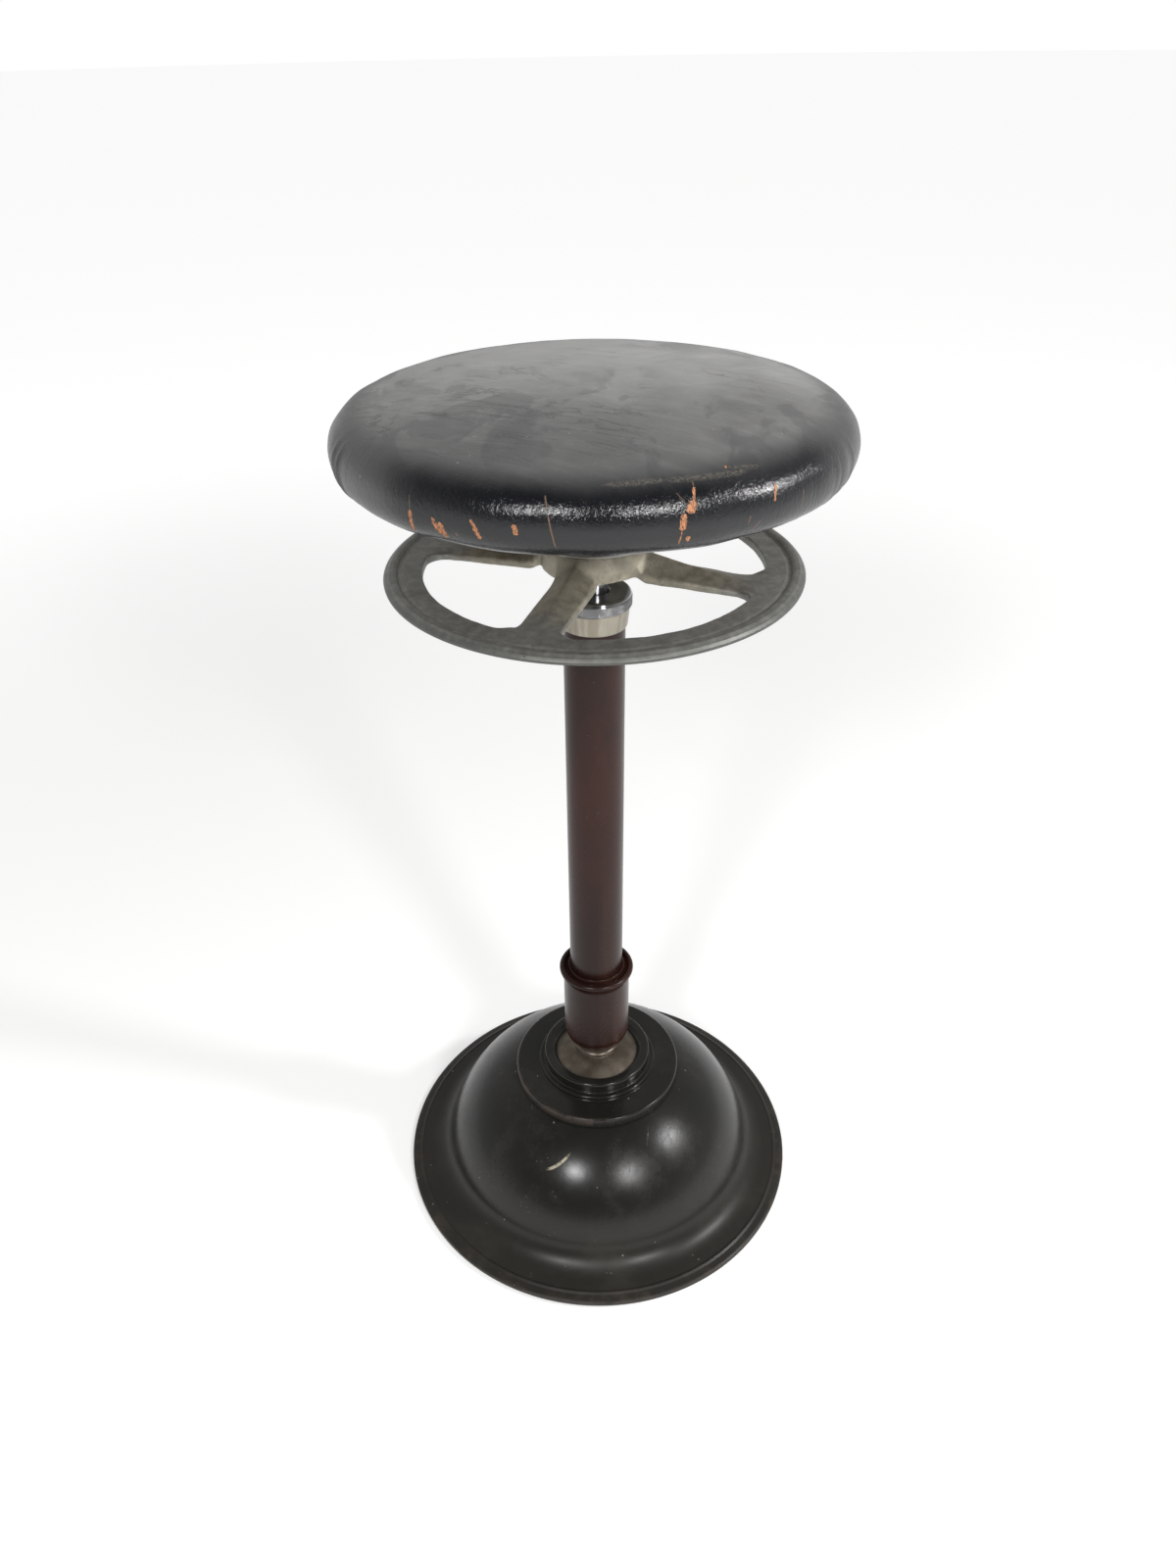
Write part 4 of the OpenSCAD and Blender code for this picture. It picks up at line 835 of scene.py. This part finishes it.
def wheelTop(x, y):
    w = Named(**wheel)
    r = np.hypot(x, y)
    plate = w.plateZ + w.dish * ramp(r, w.openR, w.dishIn - w.openR)
    best = plate.copy()
    flat = w.ribRound ** 2
    for k in range(4):
        a = radians(90 * k)
        u, v = x * cos(a) + y * sin(a), y * cos(a) - x * sin(a)
        crest = w.ribH * ramp(u, w.ribEnd, w.dishIn - w.ribEnd, 1.06) ** 1.6
        half = w.ribHalf - w.ribTaper * ramp(u, w.ribIn, w.ribEnd - w.ribIn)
        side = (sqrt(1 + flat) - np.sqrt((v / half) ** 2 + flat)) / (sqrt(1 + flat) - w.ribRound)
        onSpoke = ramp(np.abs(v), 20, -5)
        along = ramp(u, w.droopIn, 16) * ramp(u, w.openR + 2, -22) * onSpoke
        fall = w.droop * ease(along) * np.clip(np.abs(v) / half, 0, 1.2) ** 1.6
        bent = merge(plate, plate + crest * side, np.minimum(w.ribFillet, crest * 0.8)) - fall
        best = np.where((u > 20) & (np.abs(v) < u), bent, best)
    hub = plate + (w.hubTop - plate) * ease(ramp(r, w.flankR, w.hubR - w.flankR))
    hub = hub - 3 * np.maximum(r - w.flankR, 0)
    full = merge(best, hub, w.fillet * ease(ramp(r, w.hubR, 2.2)) * (1 - ramp(r, w.filletR, 16)) ** 2)
    return np.where(r <= w.hubR, w.hubTop, full)


def wheelUnder(x, y):
    w = Named(**wheel)
    r = np.hypot(x, y)
    low = w.plateZ - w.plateT + w.underDish * ramp(r, w.openR, w.dishIn - w.openR)
    low = low + w.rimLift * np.maximum(r - w.openR, 0) + w.hubRise * ease(ramp(r, w.flareR, -8))
    return low + (w.hubZ - low) * ease(ramp(r, w.dishIn, -2.5))


def evenly(points, count):
    points = np.array(points, float)
    run = runs(points)
    at = np.linspace(0, run[-1], count + 1)
    return np.column_stack([np.interp(at, run, points[:, 0]), np.interp(at, run, points[:, 1])])


def openingSides():  # a quarter's opening, and the quarter's own edge, point for point
    w = Named(**wheel)
    ry, hy = w.spokeHalf + w.rimCorner, w.spokeHalf + w.hubCorner
    rx = sqrt((w.openR - w.rimCorner) ** 2 - ry * ry)
    hx = sqrt((w.hubOpen + w.hubCorner) ** 2 - hy * hy)
    ra, ha = degrees(atan2(ry, rx)), degrees(atan2(hy, hx))
    rimMid, hubMid = (ra - 90) / 2, (180 + ha + 270) / 2
    spoke = evenly(arc(hx, hy, w.hubCorner, hubMid, 270) + arc(rx, ry, w.rimCorner, -90, rimMid), w.spokeCuts)
    rim = evenly(arc(rx, ry, w.rimCorner, rimMid, ra) + arc(0, 0, w.openR, ra, 90 - ra, 80)
                 + arc(ry, rx, w.rimCorner, 90 - ra, 90 - rimMid), w.rimCuts)
    hub = evenly(arc(hy, hx, w.hubCorner, 450 - hubMid, 270 - ha) + arc(0, 0, w.hubOpen, 90 - ha, ha, 30)
                 + arc(hx, hy, w.hubCorner, 180 + ha, hubMid), w.hubCuts)
    line = np.linspace(w.innerR, w.outerR, w.spokeCuts + 1)

    def sweep(r, start, end, cuts):
        turn = np.linspace(start, end, cuts + 1)
        return r * np.column_stack([np.cos(turn), np.sin(turn)])

    opening = [spoke, rim, spoke[::-1, ::-1], hub]
    outer = [np.column_stack([line, 0 * line]), sweep(w.outerR, 0, pi / 2, w.rimCuts),
             np.column_stack([0 * line, line[::-1]]), sweep(w.innerR, pi / 2, 0, w.hubCuts)]
    return [np.concatenate([side[:-1] for side in sides]) for sides in (opening, outer)]


def makeWheel():
    w = Named(**wheel)
    loop, outer = openingSides()
    span = outer - loop
    far = np.hypot(*span.T)
    levels = []  # share of the way outwards, fall of the rounded edge
    for d in np.array([0, 0.1, 0.28, 0.55, 0.85, 1.0]) * w.edge:
        fall = w.edge - sqrt(max(w.edge ** 2 - (w.edge - d) ** 2, 0))
        levels.append((np.minimum(d, far * 0.8) / far, fall))
    flat = levels[-1][0]
    levels += [(flat + (1 - flat) * t, 0.0) for t in np.linspace(0, 1, w.rings)[1:]]
    verts, faces, walls = [], [], []
    for height, sign in ((wheelTop, 1), (wheelUnder, -1)):
        rows = []
        for share, fall in levels:
            spot = loop + span * share[:, None]
            rows.append(list(range(len(verts), len(verts) + len(loop))))
            verts += np.column_stack([spot, height(*spot.T) - sign * fall]).tolist()
        faces += stitch(rows[::-sign], False)
        walls.append(rows[0])
    faces += stitch(walls, False)
    parts = [(spun(np.array(verts), 90 * q), faces) for q in range(4)]
    rim = [(w.outerR, w.plateZ), *((w.rimR - p[0], w.plateZ + p[1], *p[2:]) for p in w.rim),
           (w.outerR, w.plateZ - w.rimT)]
    hub = [(w.innerR, w.hubTop), (w.cupR, w.hubTop, 0.6), (w.cupR, w.cupZ, 0.4), (w.boreR, w.cupZ),
           (w.boreR, w.hubZ), (w.innerR, w.hubZ)]
    for path, fine, cuts in ((rim, 6, w.rimCuts), (hub, 5, w.hubCuts)):
        points, sides = turnMesh(rounded(path, False, fine), 4 * cuts, False)
        parts.append((np.array(points) / mm, sides))
    points, faces = joined(parts)
    points = spun(points, w.turn)
    reach = np.hypot(points[:, 0], points[:, 1])
    soft = ramp(reach, w.hubR + 1.1, 4) * ramp(reach, w.castR, -4)
    lumps = [noise.noise(Vector(p) * 0.07) * 1.6 + noise.noise(Vector(p) * 0.22) for p in points]
    points[:, 2] += soft * np.array(lumps) * w.castWave
    addPiece("handWheel", points * mm, faces, "castAluminium", "spindle", ["handwheel"], 44)


# seat: bracket, board, stuffing, leather cover

seat = dict(
    boardZ=667.9, boardR=150.0, boardT=18.0, gap=0.2, seatR=167.3, bulge=18.3,
    shoulderR=145.0, shoulderZ=42.0, crown=10.0, coverT=1.6, hemR=128.0, around=720,
    wave=0.55, wrinkle=0.3, pleat=1.15,
    pleats={  # centre azimuth, half width in degrees, depth share, folds in the window
        "left": (-66, 8, 1.5, 8), "right": (62, 7, 1.3, 7), "backLeft": (-140, 10, 1.1, 8),
        "backRight": (128, 12, 1.1, 9), "back": (176, 7, 0.9, 5), "frontLeft": (-37, 3, 0.4, 2),
        "frontRight": (48, 4, 0.35, 3)},
    bracketZ=620.9, bracketR=92.0, footR=46.8, neckR=27.0, bushR=11.05, bushTop=645.9,
    hollowR=17.0, arms=6, webHalf=3.0, discR=46.3, discBore=9.5,
)


def cushionPath(t=0.0, crownCuts=46):
    s = Named(**seat)
    side, wide, shoulder = s.seatR - t, s.boardZ + s.bulge, s.shoulderR
    top = s.boardZ + s.shoulderZ + s.crown - t
    path = [(shoulder * i / crownCuts, top - s.crown * (i / crownCuts) ** 3.3) for i in range(crownCuts)]
    path += curve((shoulder, top - s.crown), (shoulder + 0.58 * (s.seatR - shoulder), top - s.crown - 3),
                  (side, wide + 12), (side, wide), 26)[:-1]
    path += curve((side, wide), (side, wide - 9.5), (side - 4.5, s.boardZ + 3),
                  (s.boardR + 7 - 0.4 * t, s.boardZ + 0.2 * t), 18)
    return path


def pleatDepth(azimuth):
    depth = 0.0
    for centre, half, share, folds in seat["pleats"].values():
        off = (azimuth - centre + 180) % 360 - 180
        if abs(off) < half:
            phase = off / half * folds * 0.5 + 0.35 * sin(off * 1.7 + centre)
            fold = abs((phase % 1.0) - 0.5) * 2
            depth += share * (1 - (off / half) ** 2) * (fold ** 0.55 - 0.72)
    return depth


def coverPush(a, spot, run, fade, topShare, side, late):  # how far the leather stands off its smooth shape
    waves = noise.noise(spot * 0.022) + 0.5 * noise.noise(spot * 0.055 + Vector((9, 2, 5)))
    slant = Vector((spot.x * 0.8 + spot.y * 0.6, (spot.y * 0.8 - spot.x * 0.6) * 3.2, spot.z)) * 0.02
    ridge = max(0.0, 1 - abs(noise.noise(slant + Vector((3, 7, 1)))) * 4)
    push = seat["wave"] * fade * waves + seat["wrinkle"] * fade * topShare * ridge * 0.8
    push += seat["pleat"] * side * late * pleatDepth(degrees(a))
    return push + 0.5 * side * noise.noise(Vector((a * 5, run * 0.03, 4.4)))


def makeCover():
    s = Named(**seat)
    outer = cushionPath()
    hem = [(s.boardR + 3.5, 1.5), (s.boardR, 2.0), (s.hemR + 16, 1.95), (s.hemR + 10, 1.9),
           (s.hemR + 5, 1.85), (s.hemR + 0.5, 1.8), (s.hemR, 1.2), (s.hemR + 0.3, 0.25), (s.hemR + 12, 0.2),
           (s.boardR + 2, 0.2)]  # radius, depth under the board
    path = outer + [(r, s.boardZ - drop) for r, drop in hem] + cushionPath(s.coverT, 10)[::-2]
    n, run = s.around, runs(path)
    verts, rows = [], []
    for i, (r, z) in enumerate(path):
        if r < 1e-4:
            rows.append([len(verts)] * n)
            verts.append((0, 0, z))
            continue
        rows.append(list(range(len(verts), len(verts) + n)))
        before, after = path[max(i - 1, 0)], path[min(i + 1, len(path) - 1)]
        tx, tz = after[0] - before[0], after[1] - before[1]
        nx, nz = tz / hypot(tx, tz), -tx / hypot(tx, tz)
        fade, topShare, side = min(1.0, r / 12), float(ramp(r, 158, -20)), float(ramp(run[i], 160, 16))
        for k in range(n):
            a = 2 * pi * (k / n - 0.5)  # azimuth right of the front
            dx, dy = sin(a), -cos(a)
            push = 0.0
            if i < len(outer) + 2 and r > 0.5:
                late = 1.0 if i < len(outer) else 0.4
                push = coverPush(a, Vector((r * dx, r * dy, z)), run[i], fade, topShare, side, late)
            verts.append((r * dx + nx * dx * push, r * dy + nx * dy * push, z + nz * push))
    mesh = bpy.data.meshes.new("leatherCover")
    mesh.from_pydata([(x * mm, y * mm, z * mm) for x, y, z in verts], [], stitch(rows, False, True))
    spotOf = {v: (k, i) for i, row in enumerate(rows) for k, v in enumerate(row)}
    uv = mesh.uv_layers.new(name="round")
    for face in mesh.polygons:
        marks = [spotOf[v] for v in face.vertices]
        wraps = max(k for k, _ in marks) - min(k for k, _ in marks) > n / 2
        for loop, (k, i) in zip(face.loop_indices, marks):
            k = k + n if wraps and k < n / 2 else k
            uv.data[loop].uv = (k / n, run[i] / leatherMarks["uvLength"])
    cover = dress("leatherCover", mesh, "blackLeather", "seat", ["seat_cover"], 70)


def makeSeat():
    s = Named(**seat)
    z, top, r, gap = s.boardZ, s.boardZ + s.boardT, s.boardR, s.gap
    stuffing = cushionPath(s.coverT + 0.3, 24)
    stuffing += [(r + gap, z + 2, 0.5), (r + gap, top - 3 + gap, 1.0), (r - 3 + gap, top + gap, 0.8),
                 (0, top + gap)]
    pad = turned("stuffing", stuffing, "feltStuffing", "seat", ["seat_pad"], 128, False)
    board = [(0, z), (r - 2, z, 1.5), (r, z + 2, 1.5), (r, top - 3, 2), (r - 3, top, 2), (0, top)]
    turned("seatBoard", board, "boardWood", "seat", ["seat_board"], 128, False)
    b, neck, foot, wide, under = s.bracketZ, s.neckR, s.footR, s.bracketR, z - 6
    bracket = [(s.bushR, b), (foot - 1, b, 0.6), (foot, b + 1.2, 1.0), (foot, b + 4.4, 1.6),
               (foot - 3.8, b + 5.8, 2.0)]
    bracket += curve((foot - 6, b + 6.6), (neck + 3, b + 9), (neck, b + 14), (neck, under - 12), 14)
    bracket += arc(neck + 9, under - 9, 9, 176, 94, 10)
    bracket += [(wide - 1.4, under + 1.5, 1.0), (wide, under + 2.6, 1.2), (wide, z, 0.8), (s.hollowR, z),
                (s.hollowR, s.bushTop), (s.bushR, s.bushTop)]
    web = rounded([(neck - 2, b + 14), (neck + 2, b + 18, 3), (neck + 8, under - 14, 6),
                   (wide - 6, under + 1, 3), (wide - 6, under + 3), (neck - 2, under + 3)], True, 4)
    points, rows = [], []
    for side, inset in ((-s.webHalf, 0.8), (0.8 - s.webHalf, 0.0), (s.webHalf - 0.8, 0.0), (s.webHalf, 0.8)):
        rows.append(list(range(len(points), len(points) + len(web))))
        points += [(u, side, h + inset if h < under + 1.5 else h) for u, h in web]
    faces = stitch(rows, False) + [rows[0][::-1], rows[3]]
    webs = [(spun(np.array(points), 30 + 360 / s.arms * k) * mm, faces) for k in range(s.arms)]
    verts, faces = joined([turnMesh(rounded(bracket), 160), *webs])
    addPiece("seatBracket", verts, faces, "blackEnamel", "seat", ["seat_bracket"], 38)
    disc = [(s.discBore, b - 2), (s.discR - 0.7, b - 2, 0.5), (s.discR, b - 1, 0.7), (s.discR - 0.7, b, 0.5),
            (s.discBore, b)]
    turned("dustDisc", disc, "plainSteel", "seat", ["dust_washer"])


# small repeated pieces, grown from node trees

domes = {  # number, circle, height of the centres, radius, squash; finish, body, node
    "coverTacks": (32, 140.0, 665.9, 4.4, 0.32, "tackSteel", "seat", "cover_tacks"),
    "bracketScrews": (6, 81.0, 662.9, 4.6, 0.5, "plainSteel", "seat", "bracket_screws"),
    "bearingBalls": (16, 24.5, 611.95, 4.0, 1.0, "ballSteel", "spindle", "bearing_balls"),
}
spring = dict(turns=5.5, r=21.98, wireR=3.0, low=54.1, high=104.9)


def makeDomes(name, count, circle, height, radius, squash, finish, body, node):
    numbers = {"Count": count, "Circle": circle * mm, "Height": height * mm, "Radius": radius * mm,
               "Squash": squash}
    net, given = geometryTree(name, numbers)
    dome = net.node("GeometryNodeMeshUVSphere", {"Segments": 20, "Rings": 12, "Radius": given.Radius})
    flat = net.join(1.0, 1.0, given.Squash)
    dome = net.node("GeometryNodeTransform", {"Geometry": dome, "Scale": flat})
    points = net.node("GeometryNodeMeshCircle", {"Vertices": given.Count, "Radius": given.Circle})
    up = net.join(0.0, 0.0, given.Height)
    points = net.node("GeometryNodeTransform", {"Geometry": points, "Translation": up})
    closeTree(net, net.node("GeometryNodeInstanceOnPoints", {"Points": points, "Instance": dome}), given)
    growPiece(name, net, numbers, finish, body, [node])


def makeSpring():
    s = Named(**spring)
    numbers = {"Turns": s.turns, "Radius": s.r * mm, "Wire": s.wireR * mm, "Low": s.low * mm,
               "High": s.high * mm}
    net, given = geometryTree("springCoil", numbers)
    coil = net.node("GeometryNodeCurveSpiral", {
        "Resolution": 48, "Rotations": given.Turns, "Start Radius": given.Radius, "End Radius": given.Radius,
        "Height": given.High - given.Low})
    wire = net.node("GeometryNodeCurvePrimitiveCircle", {"Resolution": 14, "Radius": given.Wire})
    shape = net.node("GeometryNodeCurveToMesh", {"Curve": coil, "Profile Curve": wire, "Fill Caps": True})
    up = net.join(0.0, 0.0, given.Low)
    shape = net.node("GeometryNodeTransform", {"Geometry": shape, "Translation": up})
    closeTree(net, shape, given)
    growPiece("centringSpring", net, numbers, "springSteel", "base", ["centring_spring"])


# carried-over solids, floor, room

carried = {
    "floorRubber": ["floor_ring"], "tackSteel": ["cap_bolts", "collar_screw"],
    "rawIron": ["socket_seat", "ball_washer", "cup_washer", "column_plug"],
    "plainSteel": ["stem_nuts", "draw_stem", "plug_rivets", "guide_washer", "guide_nut", "hub_key", "hub_nut",
                   "swivel_washer", "swivel_nut"],
    "oldBronze": ["screw_nut", "clamp_collet", "guide_bush", "ball_cage", "bracket_bush"],
    "turnedSteel": ["lower_race", "upper_race"],
}


def makeFloor():
    bpy.ops.mesh.primitive_circle_add(vertices=96, radius=studio["floorR"], fill_type="NGON")
    floor = bpy.context.object
    floor.name = "floor"
    material = bpy.data.materials.new("paleFloor")
    material.use_nodes = True
    net = Net(material.node_tree)
    paint = net.node("ShaderNodeBsdfDiffuse", {"Color": (*studio["floorColour"], 1)})
    seen, mirrored, through = net.rays()
    level = net.step(net.radius(), 0.5, 2.6, (studio["floorNear"], studio["floorFar"]))
    level = (seen + mirrored + through) * level
    lift = net.node("ShaderNodeEmission", {"Color": (1, 1, 1, 1), "Strength": level})
    net.node("ShaderNodeOutputMaterial", {0: net.node("ShaderNodeAddShader", {0: paint, 1: lift})})
    floor.data.materials.append(material)


def makeRoom():
    world = bpy.data.worlds.new("room")
    bpy.context.scene.world = world
    world.use_nodes = True
    net = Net(world.node_tree)
    seen, mirrored, through = net.rays()
    towards = net.node("ShaderNodeTexCoord", out="Generated")
    pair = {0: towards, 1: studio["flag"]}
    facing = net.node("ShaderNodeVectorMath", pair, {"operation": "DOT_PRODUCT"}, "Value")
    shine = net.step(net.split(towards)[2], 0.05, 0.6, (studio["roomShine"], studio["ceilingShine"]))
    dark = net.step(facing, 0.3, 0.82)
    shine = shine * (1 - dark) + dark * studio["flagShine"]
    other = net.op("MINIMUM", mirrored + through, 1.0)
    level = seen + other * shine + (1 - seen - other) * studio["roomLight"]
    shell = net.node("ShaderNodeBackground", {"Color": (1, 1, 1, 1), "Strength": level})
    net.node("ShaderNodeOutputWorld", {0: shell})


bpy.context.scene.view_settings.view_transform = "Standard"
setCamera()
setLamps()
makeFloor()
makeRoom()
print("studio set")
makeBase()
makeColumn()
print("base and column made")
makeRing()
makeSpindle()
makeWheel()
print("screw and hand wheel made")
makeSeat()
makeCover()
print("seat made")
for name, numbers in domes.items():
    makeDomes(name, *numbers)
makeSpring()
for finish, nodes in carried.items():
    for node in nodes:
        paint(node, finish)
print("small pieces made")
